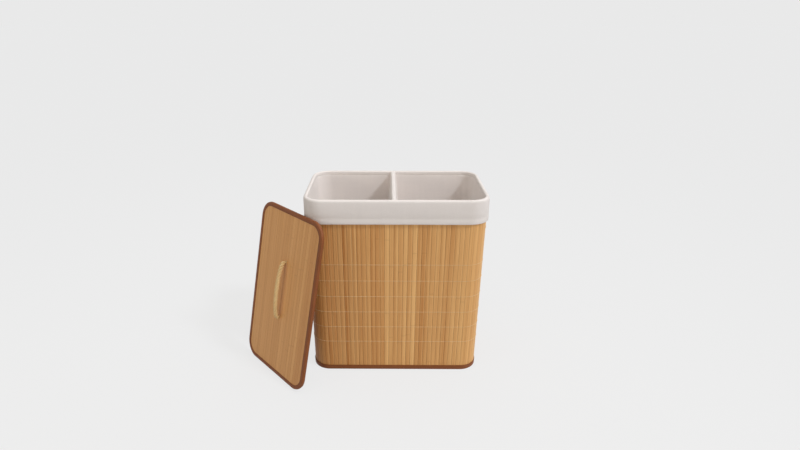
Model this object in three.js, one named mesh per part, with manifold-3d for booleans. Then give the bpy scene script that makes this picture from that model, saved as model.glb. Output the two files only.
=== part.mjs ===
// A laundry hamper with two bins. A curtain of bamboo slats wraps round a base board, stiffened by
// a wire hoop along its rim and four corner stays. A cloth liner with two bags hangs over the rim and
// lifts out. Rope loops hang at both ends. The lid, a slatted board with a rope handle, is off and
// leans on the front left corner, standing on its lower edge.
// Millimetres, +Z up, +Y to the back. The origin is the middle of the base, on the floor.
import * as THREE from "three";
import { mergeVertices } from "three/addons/utils/BufferGeometryUtils.js";
import Module from "manifold-3d";

const wasm = await Module();
wasm.setup();

// Overall form
const overallHeight = 630; // floor to the top of the cuff
const topWidth = 585; // across the slats at the rim
const topDepth = 348;
const baseWidth = 574; // across the slats at the floor
const baseDepth = 340;
const cornerRadius = 58;
const clearance = 0.3; // between pieces that touch
const overrun = 4; // how far a cutting tool runs past what it cuts

// Slat curtain
const slatPitch = 15;
const slatThickness = 2.6;
const slatGrooveWidth = 1.2;
const slatGrooveDepth = 1.2;
const slatsPerCorner = 6;
const backingThickness = 0.6;

// Bindings along the rim and the base
const rimBindingThickness = 0.9;
const rimBindingHeight = 25;
const baseBindingThickness = 1.3;
const baseBindingHeight = 14.5;
const baseBindingSole = 1; // thickness under the slats
const baseBindingReach = 14; // how far the sole runs in under the board

// Base board
const boardThickness = 5;

// Rim wire, its ferrules, and the corner stays in their shoes
const wireRadius = 1.9;
const ferruleRadius = 2.7;
const ferruleLength = 36;
const stayWidth = 16;
const stayThickness = 1.6;
const shoeHeight = 22;
const shoeWall = 3.6;
const shoePegRadius = 1.4;

// Liner: cuff, bags and divider
const clothThickness = 1.5;
const cuffDrop = 79;
const cuffFold = 1.5; // bevel along the cuff's top fold
const cuffInnerDrop = 34;
const hemHeight = 20;
const hemExtra = 1; // the hem's extra thickness, on the inner side
const bagShoulderDrop = 50; // from the bag's top to where it hangs clear of the knots
const bagShoulderInset = 16; // the bag's outer face there, in from the slats
const bagFootInset = 36;
const bagFootRadius = 40;
const bagSeamRadius = 7; // the bag's corners beside the divider
const dividerOffset = -8; // the divider stands a little left of the middle
const dividerWidth = 15;
const dividerFootGap = 40; // between the two bags at their feet
const dividerRodRadius = 4;

// Fastening tape between the rim and the cuff
const tapeWidth = 200;
const tapeHeight = 24;
const tapeThickness = 1.3;
const tapeDrop = 3; // from the rim binding's lower edge to the tape's upper edge

// Lid
const lidLength = 582;
const lidDepth = 356;
const lidCornerRadius = 56;
const lidThickness = 12;
const lidBindingThickness = 1.2;
const lidBindingLip = 1; // thickness of the binding's lips
const lidBindingReach = 10; // how far the lips run in over the faces
const lidLiningThickness = 0.8;
const lidBoardThickness = 5;
const lidGrooveDepth = 0.9;
const lidTilt = THREE.MathUtils.degToRad(12.3);
const lidTurn = THREE.MathUtils.degToRad(41.7);
const lidSlideAlong = 34; // how far its near corner stands forward along its own edge

// Rope handles
const lidRopeRadius = 7;
const lidHandleSpan = 196;
const lidHandleShift = 16; // its middle lies this far above the lid's
const lidHandleRise = 16; // from the pivot line to the middle of the arch
const sideRopeRadius = 5;
const sideHandleSpan = 90;
const sideHandleDrop = 44;
const sideHandleBelowCuff = 31; // from the cuff's lower edge down to the holes
const sideHandleLean = THREE.MathUtils.degToRad(15);
const stubProud = 0.2; // how far a rope's fixed end stands proud of the face
const washerThickness = 1.2;
const washerRadius = 12;
const knotRadiusShare = 1.6; // knot's radius as a share of the rope's
const knotDepth = 9;

// How round things are divided
const tubeSides = 8;
const archSteps = 14;
const roundSides = 16;
const ballAngles = [30, 60].map(THREE.MathUtils.degToRad);

// Insets that follow, measured inwards from the slats' outer face
const backingInner = slatThickness + clearance + backingThickness;
const stayOuter = backingInner + clearance;
const stayInner = stayOuter + stayThickness;
const rimBindingInner = stayInner + clearance;
const wireInset = (rimBindingInner - clearance) / 2;
const cuffInner = rimBindingInner + rimBindingThickness + clearance;
const skirtInner = -3 * clearance - 2 * tapeThickness;
const skirtOuter = skirtInner - clothThickness;

// Heights that follow
const cuffWebLow = overallHeight - clothThickness;
const rimBindingTop = cuffWebLow - clearance;
const rimWebLow = rimBindingTop - rimBindingThickness;
const rimBindingLow = rimBindingTop - rimBindingHeight;
const tapeHigh = rimBindingLow - tapeDrop;
const tapeLow = tapeHigh - tapeHeight;
const wireHeight = rimWebLow - clearance - ferruleRadius;
const slatTop = wireHeight - ferruleRadius - clearance;
const stayTop = wireHeight - wireRadius - clearance;
const slatBottom = baseBindingSole + clearance;
const boardTop = slatBottom + boardThickness;
const cuffLow = overallHeight - cuffDrop;
const cuffInnerLow = overallHeight - cuffInnerDrop;
const bagTop = cuffInnerLow - clearance;
const bagBottom = boardTop + clearance;
const sideHandleHeight = cuffLow - sideHandleBelowCuff;

const finish = {
  bamboo: new THREE.MeshStandardMaterial({ color: 0xbe8f5c, roughness: 0.55, metalness: 0 }),
  lidBamboo: new THREE.MeshStandardMaterial({ color: 0xb68353, roughness: 0.5, metalness: 0 }),
  binding: new THREE.MeshStandardMaterial({ color: 0x7a4a30, roughness: 0.5, metalness: 0 }),
  liner: new THREE.MeshStandardMaterial({ color: 0xddd4cb, roughness: 0.9, metalness: 0 }),
  backing: new THREE.MeshStandardMaterial({ color: 0xcbb694, roughness: 0.95, metalness: 0 }),
  board: new THREE.MeshStandardMaterial({ color: 0xa98055, roughness: 0.8, metalness: 0 }),
  wire: new THREE.MeshStandardMaterial({ color: 0xb8b8b6, roughness: 0.35, metalness: 0.9 }),
  moulding: new THREE.MeshStandardMaterial({ color: 0x2b2a28, roughness: 0.5, metalness: 0 }),
  rope: new THREE.MeshStandardMaterial({ color: 0xc9a878, roughness: 0.9, metalness: 0 }),
  tape: new THREE.MeshStandardMaterial({ color: 0xe6e1d8, roughness: 0.95, metalness: 0 }),
};

// A closed solid skinned over rings of equal length. The rings run upwards, each anticlockwise seen
// from above. In a loop the last ring meets the first; otherwise both ends are capped.
function skin(rings, loop = false) {
  const count = rings[0].length;
  const positions = rings.flat().flatMap((p) => [p.x, p.y, p.z]);
  const faces = [];
  const bands = loop ? rings.length : rings.length - 1;
  for (let band = 0; band < bands; band++) {
    const low = band * count;
    const high = ((band + 1) % rings.length) * count;
    for (let i = 0; i < count; i++) {
      const next = (i + 1) % count;
      faces.push(low + i, low + next, high + next, low + i, high + next, high + i);
    }
  }
  if (!loop) {
    const last = (rings.length - 1) * count;
    for (const [a, b, c] of capFaces(rings[0])) faces.push(c, b, a);
    for (const [a, b, c] of capFaces(rings.at(-1))) faces.push(last + a, last + b, last + c);
  }
  const geometry = new THREE.BufferGeometry();
  geometry.setAttribute("position", new THREE.Float32BufferAttribute(positions, 3));
  geometry.setIndex(faces);
  return geometry;
}

// Triangles over a flat ring, found in the ring's own plane.
function capFaces(ring) {
  const middle = ring.reduce((sum, p) => sum.add(p), new THREE.Vector3()).divideScalar(ring.length);
  const normal = new THREE.Vector3();
  ring.forEach((p, i) => {
    const next = ring[(i + 1) % ring.length];
    normal.add(p.clone().sub(middle).cross(next.clone().sub(middle)));
  });
  const turn = new THREE.Quaternion().setFromUnitVectors(normal.normalize(), new THREE.Vector3(0, 0, 1));
  const flat = ring.map((p) => {
    const q = p.clone().sub(middle).applyQuaternion(turn);
    return new THREE.Vector2(q.x, q.y);
  });
  return THREE.ShapeUtils.triangulateShape(flat, []);
}

// Booleans
function toSolid(geometry) {
  const bare = geometry.clone();
  bare.deleteAttribute("normal");
  bare.deleteAttribute("uv");
  const merged = mergeVertices(bare);
  return new wasm.Manifold(
    new wasm.Mesh({
      numProp: 3,
      vertProperties: new Float32Array(merged.attributes.position.array),
      triVerts: new Uint32Array(merged.index.array),
    }),
  );
}

function toGeometry(solid) {
  const { vertProperties, triVerts } = solid.getMesh();
  const geometry = new THREE.BufferGeometry();
  geometry.setAttribute("position", new THREE.BufferAttribute(new Float32Array(vertProperties), 3));
  geometry.setIndex(new THREE.BufferAttribute(new Uint32Array(triVerts), 1));
  return geometry;
}

function cut(geometry, ...tools) {
  return toGeometry(tools.reduce((solid, tool) => solid.subtract(toSolid(tool)), toSolid(geometry)));
}

function join(first, ...others) {
  return toGeometry(others.reduce((solid, other) => solid.add(toSolid(other)), toSolid(first)));
}

// A round bar between two points
function bar(from, to, radius, sides = roundSides) {
  const along = to.clone().sub(from);
  const geometry = new THREE.CylinderGeometry(radius, radius, along.length(), sides);
  const turn = new THREE.Quaternion().setFromUnitVectors(
    new THREE.Vector3(0, 1, 0),
    along.clone().normalize(),
  );
  geometry.applyQuaternion(turn);
  geometry.translate(...from.clone().lerp(to, 0.5).toArray());
  return geometry;
}

// A tube along points that lie in one plane, with flat or rounded ends
function tube(points, planeNormal, radius, rounded = false) {
  const tangents = points.map((p, i) =>
    points[Math.min(i + 1, points.length - 1)].clone().sub(points[Math.max(i - 1, 0)]).normalize(),
  );
  const ringAt = (centre, tangent, size) => {
    const side = planeNormal.clone().cross(tangent);
    return Array.from({ length: tubeSides }, (_, i) => {
      const angle = (2 * Math.PI * i) / tubeSides;
      return centre
        .clone()
        .addScaledVector(side, size * Math.cos(angle))
        .addScaledVector(planeNormal, size * Math.sin(angle));
    });
  };
  const rings = points.map((p, i) => ringAt(p, tangents[i], radius));
  if (rounded) {
    for (const angle of ballAngles) {
      const back = radius * Math.sin(angle);
      const size = radius * Math.cos(angle);
      const first = points[0].clone().addScaledVector(tangents[0], -back);
      const last = points.at(-1).clone().addScaledVector(tangents.at(-1), back);
      rings.unshift(ringAt(first, tangents[0], size));
      rings.push(ringAt(last, tangents.at(-1), size));
    }
  }
  return skin(rings);
}

// The hamper's outline at a height: half the width and depth over the slats
function wallAt(z) {
  const share = z / overallHeight;
  return {
    x: THREE.MathUtils.lerp(baseWidth, topWidth, share) / 2,
    y: THREE.MathUtils.lerp(baseDepth, topDepth, share) / 2,
  };
}

// A rounded rectangle's ring, anticlockwise from the front right corner. Radii run front right,
// back right, back left, front left.
function roundedRing({ left, right, front, back }, radii, z) {
  const corners = [
    [right, front, -1, 1],
    [right, back, -1, -1],
    [left, back, 1, -1],
    [left, front, 1, 1],
  ];
  return corners.flatMap(([x, y, inX, inY], corner) => {
    const radius = radii[corner];
    const start = (corner - 1) * (Math.PI / 2);
    return Array.from({ length: slatsPerCorner + 1 }, (_, i) => {
      const angle = start + ((Math.PI / 2) * i) / slatsPerCorner;
      return new THREE.Vector3(
        x + inX * radius + radius * Math.cos(angle),
        y + inY * radius + radius * Math.sin(angle),
        z,
      );
    });
  });
}

function wallRing(inset, z) {
  const half = wallAt(z);
  const radius = cornerRadius - inset;
  return roundedRing(
    { left: inset - half.x, right: half.x - inset, front: inset - half.y, back: half.y - inset },
    [radius, radius, radius, radius],
    z,
  );
}

// A band round the hamper. Its section is a list of [inset, z], up the outer face, in over the top
// and down the inner face.
function hoop(section, ringAt = wallRing) {
  return skin(
    section.map(([inset, z]) => ringAt(inset, z)),
    true,
  );
}

// A plate that fills the hamper's outline
const plate = (inset, low, high) => skin([wallRing(inset, low), wallRing(inset, high)]);

// The eight stretches of wall, anticlockwise from the front
const walls = {
  front: { turn: 0 },
  front_right: { corner: true, turn: 0, x: 1, y: -1 },
  right: { turn: 1 },
  back_right: { corner: true, turn: 1, x: 1, y: 1 },
  back: { turn: 2 },
  back_left: { corner: true, turn: 2, x: -1, y: 1 },
  left: { turn: 3 },
  front_left: { corner: true, turn: 3, x: -1, y: -1 },
};

function straightLength(name, z) {
  const half = wallAt(z);
  const along = walls[name].turn % 2 ? half.y : half.x;
  return 2 * (along - cornerRadius);
}

// A point on a wall: a share of the way along it, some way in from its outer face
function wallPoint(name, share, inset, z) {
  const { corner, turn, x, y } = walls[name];
  const half = wallAt(z);
  if (corner) {
    const angle = (turn - 1 + share) * (Math.PI / 2);
    const radius = cornerRadius - inset;
    return new THREE.Vector3(
      x * (half.x - cornerRadius) + radius * Math.cos(angle),
      y * (half.y - cornerRadius) + radius * Math.sin(angle),
      z,
    );
  }
  const out = (turn % 2 ? half.x : half.y) - inset;
  const along = (share - 0.5) * straightLength(name, z);
  return new THREE.Vector3(along, -out, z).applyAxisAngle(
    new THREE.Vector3(0, 0, 1),
    turn * (Math.PI / 2),
  );
}

// Slats side by side along a line of the given length, as an outline: groove by groove along the
// outer face, then back along the inner face. place turns a share and a depth into a point.
function slatOutline(count, length, depthOfGroove, thickness, curved, place) {
  const half = slatGrooveWidth / 2 / length;
  const end = clearance / 2 / length;
  const outer = [];
  for (let i = 0; i < count; i++) {
    outer.push(place(i ? i / count + half : end, 0));
    outer.push(place(i < count - 1 ? (i + 1) / count - half : 1 - end, 0));
    if (i < count - 1) outer.push(place((i + 1) / count, depthOfGroove));
  }
  const inner = [place(1 - end, thickness)];
  for (let i = count - 1; curved && i > 0; i--) inner.push(place(i / count, thickness));
  inner.push(place(end, thickness));
  return [...outer, ...inner];
}

function slatWall(name) {
  const { corner } = walls[name];
  const length = corner ? (cornerRadius * Math.PI) / 2 : straightLength(name, overallHeight);
  const count = corner ? slatsPerCorner : Math.round(length / slatPitch);
  const outlineAt = (z) =>
    slatOutline(count, length, slatGrooveDepth, slatThickness, corner, (share, inset) =>
      wallPoint(name, share, inset, z),
    );
  return skin([outlineAt(slatBottom), outlineAt(slatTop)]);
}

// A flat patch on a wall, from one inset to another
function wallPatch(name, length, nearInset, farInset, low, high) {
  const ringAt = (z) => {
    const half = length / 2 / straightLength(name, z);
    return [
      wallPoint(name, 0.5 - half, nearInset, z),
      wallPoint(name, 0.5 + half, nearInset, z),
      wallPoint(name, 0.5 + half, farInset, z),
      wallPoint(name, 0.5 - half, farInset, z),
    ];
  };
  return skin([ringAt(low), ringAt(high)]);
}

// A strip down the middle of a corner, bent to its facets. The width is taken at the stay's outer face.
function cornerStrip(name, width, nearInset, farInset, low, high) {
  const half = width / (cornerRadius - stayOuter) / Math.PI;
  const facetPoint = (share, inset, z) => {
    const place = share * slatsPerCorner;
    const step = Math.floor(place);
    const from = wallPoint(name, step / slatsPerCorner, inset, z);
    return from.lerp(wallPoint(name, (step + 1) / slatsPerCorner, inset, z), place - step);
  };
  const shares = [0.5 - half, 0.5, 0.5 + half];
  const ringAt = (z) => [
    ...shares.map((share) => facetPoint(share, nearInset, z)),
    ...shares.toReversed().map((share) => facetPoint(share, farInset, z)),
  ];
  return skin([ringAt(low), ringAt(high)]);
}

function mesh(name, geometry, material) {
  const made = new THREE.Mesh(geometry, material);
  made.name = name;
  return made;
}

// A rope's fixed end: a stub through a hole with a squashed knot behind it. It runs from the face
// along the inward direction.
function ropeEnd(face, inward, ropeRadius, knotStart) {
  const knotRadius = ropeRadius * knotRadiusShare;
  const knot = new THREE.SphereGeometry(1, roundSides, roundSides / 2);
  knot.scale(knotRadius, knotDepth / 2, knotRadius);
  knot.applyQuaternion(
    new THREE.Quaternion().setFromUnitVectors(new THREE.Vector3(0, 1, 0), inward),
  );
  knot.translate(...face.clone().addScaledVector(inward, knotStart + knotDepth / 2).toArray());
  const from = face.clone().addScaledVector(inward, -stubProud);
  const to = face.clone().addScaledVector(inward, knotStart + knotDepth / 2);
  return join(bar(from, to, ropeRadius), knot);
}

function washer(face, inward, start, bore) {
  const from = face.clone().addScaledVector(inward, start);
  const to = from.clone().addScaledVector(inward, washerThickness);
  const early = from.clone().addScaledVector(inward, -overrun);
  const late = to.clone().addScaledVector(inward, overrun);
  return cut(bar(from, to, washerRadius), bar(early, late, bore));
}

// The points of a rope arch that rises from one pivot to the other
function archPoints(from, to, rise) {
  const middle = from.clone().lerp(to, 0.5);
  const half = to.clone().sub(middle);
  return Array.from({ length: archSteps + 1 }, (_, i) => {
    const angle = (Math.PI * i) / archSteps;
    return middle
      .clone()
      .addScaledVector(half, -Math.cos(angle))
      .addScaledVector(rise, Math.sin(angle));
  });
}

// Side handles: where their holes are, and which way is out of the leaning wall
const sideHandles = ["left", "right"].map((name) => {
  const sign = name === "right" ? 1 : -1;
  const lean = wallAt(overallHeight).x - wallAt(0).x;
  const out = new THREE.Vector3(sign * overallHeight, 0, -lean).normalize();
  const faceX = sign * wallAt(sideHandleHeight).x;
  const holes = ["front", "rear"].map((end) => ({
    end,
    face: new THREE.Vector3(faceX, (end === "front" ? -1 : 1) * (sideHandleSpan / 2), sideHandleHeight),
  }));
  return { name, out, inward: out.clone().negate(), holes };
});

const sideHoleTools = (name) =>
  sideHandles
    .filter((handle) => handle.name === name)
    .flatMap(({ out, inward, holes }) =>
      holes.map(({ face }) =>
        bar(
          face.clone().addScaledVector(out, overrun),
          face.clone().addScaledVector(inward, backingInner + overrun),
          sideRopeRadius + clearance,
        ),
      ),
    );

// The slat curtain and its backing, bindings and hoop
function curtain() {
  const group = new THREE.Group();
  for (const name of Object.keys(walls)) {
    const wall = slatWall(name);
    const tools = sideHoleTools(name);
    group.add(mesh(`${name}_slats`, tools.length ? cut(wall, ...tools) : wall, finish.bamboo));
  }
  const backingOuter = slatThickness + clearance;
  const backing = hoop([
    [backingOuter, slatBottom],
    [backingOuter, slatTop],
    [backingInner, slatTop],
    [backingInner, slatBottom],
  ]);
  group.add(
    mesh("backing_cloth", cut(backing, ...sideHoleTools("left"), ...sideHoleTools("right")), finish.backing),
  );

  const rimOuter = -clearance - rimBindingThickness;
  const rimBinding = hoop([
    [rimOuter, rimBindingLow],
    [rimOuter, rimBindingTop],
    [rimBindingInner + rimBindingThickness, rimBindingTop],
    [rimBindingInner + rimBindingThickness, rimBindingLow],
    [rimBindingInner, rimBindingLow],
    [rimBindingInner, rimWebLow],
    [-clearance, rimWebLow],
    [-clearance, rimBindingLow],
  ]);
  group.add(mesh("rim_binding", rimBinding, finish.binding));

  const baseOuter = -clearance - baseBindingThickness;
  const baseBinding = hoop([
    [baseOuter + baseBindingSole, 0],
    [baseOuter, baseBindingSole],
    [baseOuter, baseBindingHeight],
    [-clearance, baseBindingHeight],
    [-clearance, baseBindingSole],
    [baseBindingReach, baseBindingSole],
    [baseBindingReach, 0],
  ]);
  group.add(mesh("base_binding", baseBinding, finish.binding));

  for (const name of ["front", "back"]) {
    const tape = wallPatch(name, tapeWidth, -clearance - tapeThickness, -clearance, tapeLow, tapeHigh);
    group.add(mesh(`${name}_hook_tape`, tape, finish.tape));
  }
  return group;
}

// The base board, the cloth under it, the rim wire and the corner stays
function frame() {
  const group = new THREE.Group();
  const corners = Object.keys(walls).filter((name) => walls[name].corner);
  const shoeLow = boardTop + clearance;
  const shoeInner = stayInner + clearance + shoeWall;
  const pegAt = (name, z) => wallPoint(name, 0.5, shoeInner - shoeWall / 2, z);
  const pegHoles = corners.map((name) =>
    bar(pegAt(name, slatBottom - overrun), pegAt(name, boardTop + overrun), shoePegRadius + clearance),
  );
  const board = plate(backingInner + clearance, slatBottom, boardTop);
  group.add(mesh("base_board", cut(board, ...pegHoles), finish.board));
  group.add(mesh("base_cloth", plate(baseBindingReach + clearance, 0, baseBindingSole), finish.backing));

  for (const name of corners) {
    const stay = cornerStrip(name, stayWidth, stayOuter, stayInner, shoeLow, stayTop);
    group.add(mesh(`${name}_stay`, stay, finish.board));
    const channelWidth = stayWidth + 2 * clearance;
    const shoeWidth = channelWidth + 2 * shoeWall;
    const shoeHigh = shoeLow + shoeHeight;
    const block = cornerStrip(name, shoeWidth, stayOuter, shoeInner, shoeLow, shoeHigh);
    const channel = cornerStrip(
      name,
      channelWidth,
      stayOuter - overrun,
      stayInner + clearance,
      shoeLow - overrun,
      shoeHigh + overrun,
    );
    const peg = bar(pegAt(name, slatBottom), pegAt(name, shoeLow + overrun), shoePegRadius);
    group.add(mesh(`${name}_stay_shoe`, join(cut(block, channel), peg), finish.moulding));
  }

  const up = new THREE.Vector3(0, 0, 1);
  const wireBend = (name) =>
    Array.from({ length: slatsPerCorner + 1 }, (_, i) =>
      wallPoint(name, i / slatsPerCorner, wireInset, wireHeight),
    );
  const sideMiddle = (sign) => new THREE.Vector3(sign * (wallAt(wireHeight).x - wireInset), 0, wireHeight);
  const halves = {
    front: { bends: ["front_left", "front_right"], from: -1 },
    back: { bends: ["back_right", "back_left"], from: 1 },
  };
  for (const [name, { bends, from }] of Object.entries(halves)) {
    const meeting = new THREE.Vector3(0, from * clearance, 0);
    const points = [
      sideMiddle(from).add(meeting),
      ...bends.flatMap(wireBend),
      sideMiddle(-from).add(meeting),
    ];
    group.add(mesh(`${name}_rim_wire`, tube(points, up, wireRadius), finish.wire));
  }
  for (const [name, sign] of [
    ["left", -1],
    ["right", 1],
  ]) {
    const middle = sideMiddle(sign);
    const half = new THREE.Vector3(0, ferruleLength / 2, 0);
    const past = new THREE.Vector3(0, ferruleLength / 2 + overrun, 0);
    const sleeve = bar(middle.clone().sub(half), middle.clone().add(half), ferruleRadius);
    const bore = bar(middle.clone().sub(past), middle.clone().add(past), wireRadius + clearance);
    group.add(mesh(`${name}_rim_ferrule`, cut(sleeve, bore), finish.wire));
  }
  return group;
}

// Where the bags' walls run: below the cuff, past the knots of the side handles, and at the foot
const bagLevels = [
  { z: bagTop, inset: cuffInner, radius: cornerRadius - cuffInner },
  { z: bagTop - bagShoulderDrop, inset: bagShoulderInset, radius: cornerRadius - bagShoulderInset },
  { z: bagBottom, inset: bagFootInset, radius: bagFootRadius },
];

// A bag's outline at one of those levels, shrunk by an inset and raised by a rise
function bagRing(name, level, shrink, rise = 0) {
  const half = wallAt(level.z);
  const outX = half.x - level.inset - shrink;
  const outY = half.y - level.inset - shrink;
  const share = (bagTop - level.z) / (bagTop - bagBottom);
  const seam = THREE.MathUtils.lerp(dividerWidth / 2 - clothThickness, dividerFootGap / 2, share) + shrink;
  const outer = level.radius - shrink;
  const inner = bagSeamRadius - shrink;
  const isLeft = name === "left";
  return roundedRing(
    {
      left: isLeft ? -outX : dividerOffset + seam,
      right: isLeft ? dividerOffset - seam : outX,
      front: -outY,
      back: outY,
    },
    isLeft ? [inner, inner, outer, outer] : [outer, outer, inner, inner],
    level.z + rise,
  );
}

// The liner: cuff over the rim, two bags and the stiffened divider between them
function liner() {
  const group = new THREE.Group();
  const innerFace = cuffInner + clothThickness;
  const cuff = hoop([
    [skirtOuter, cuffLow],
    [skirtOuter, overallHeight - cuffFold],
    [skirtOuter + cuffFold, overallHeight],
    [innerFace - cuffFold, overallHeight],
    [innerFace, overallHeight - cuffFold],
    [innerFace, cuffInnerLow],
    [cuffInner, cuffInnerLow],
    [cuffInner, cuffWebLow],
    [skirtInner, cuffWebLow],
    [skirtInner, cuffLow + hemHeight],
    [skirtInner + hemExtra, cuffLow + hemHeight - hemExtra],
    [skirtInner + hemExtra, cuffLow],
  ]);
  group.add(mesh("liner_cuff", cuff, finish.liner));

  for (const name of ["left", "right"]) {
    const upOuter = bagLevels.toReversed().map((level) => bagRing(name, level, 0));
    const downInner = bagLevels.map((level) => bagRing(name, level, clothThickness));
    group.add(mesh(`${name}_bag_wall`, skin([...upOuter, ...downInner], true), finish.liner));
    const foot = bagLevels.at(-1);
    const floorInset = clothThickness + clearance;
    const floor = skin([bagRing(name, foot, floorInset), bagRing(name, foot, floorInset, clothThickness)]);
    group.add(mesh(`${name}_bag_floor`, floor, finish.liner));
  }

  const reach = wallAt(cuffInnerLow).y - innerFace - clearance;
  const half = dividerWidth / 2;
  const hemTop = overallHeight - clothThickness;
  const rodHeight = hemTop - clothThickness - clearance - dividerRodRadius;
  const hemSection = new THREE.Shape([
    new THREE.Vector2(-half, cuffInnerLow),
    new THREE.Vector2(clothThickness - half, cuffInnerLow),
    new THREE.Vector2(clothThickness - half, hemTop - clothThickness),
    new THREE.Vector2(half - clothThickness, hemTop - clothThickness),
    new THREE.Vector2(half - clothThickness, cuffInnerLow),
    new THREE.Vector2(half, cuffInnerLow),
    new THREE.Vector2(half, hemTop - clothThickness),
    new THREE.Vector2(half - clothThickness, hemTop),
    new THREE.Vector2(clothThickness - half, hemTop),
    new THREE.Vector2(-half, hemTop - clothThickness),
  ]);
  const hem = new THREE.ExtrudeGeometry(hemSection, { depth: 2 * reach, bevelEnabled: false });
  hem.rotateX(Math.PI / 2);
  hem.translate(dividerOffset, reach, 0);
  group.add(mesh("divider_hem", hem, finish.liner));
  const rod = bar(
    new THREE.Vector3(dividerOffset, -reach, rodHeight),
    new THREE.Vector3(dividerOffset, reach, rodHeight),
    dividerRodRadius,
  );
  group.add(mesh("divider_rod", rod, finish.wire));

  for (const name of ["front", "back"]) {
    const near = skirtInner + clearance;
    const tape = wallPatch(name, tapeWidth, near, near + tapeThickness, tapeLow, tapeHigh);
    group.add(mesh(`${name}_loop_tape`, tape, finish.tape));
  }
  return group;
}

// Side handles: the loops hang, their fixed ends are knotted inside the wall
function sideHandleParts() {
  const group = new THREE.Group();
  const knotStart = backingInner + washerThickness + 2 * clearance;
  const pivotOut = stubProud + clearance + sideRopeRadius;
  for (const { name, out, inward, holes } of sideHandles) {
    const ends = [];
    for (const { end, face } of holes) {
      group.add(
        mesh(`${name}_handle_${end}_knot`, ropeEnd(face, inward, sideRopeRadius, knotStart), finish.rope),
      );
      group.add(
        mesh(
          `${name}_handle_${end}_washer`,
          washer(face, inward, backingInner + clearance, sideRopeRadius + clearance),
          finish.moulding,
        ),
      );
      ends.push(face.clone().addScaledVector(out, pivotOut));
    }
    const fall = new THREE.Vector3(0, 0, -Math.cos(sideHandleLean))
      .addScaledVector(out, Math.sin(sideHandleLean))
      .multiplyScalar(sideHandleDrop);
    const across = ends[1].clone().sub(ends[0]).cross(fall).normalize();
    const loop = tube(archPoints(ends[0], ends[1], fall), across, sideRopeRadius, true);
    group.add(mesh(`${name}_handle_rope`, loop, finish.rope));
  }
  return group;
}

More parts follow.
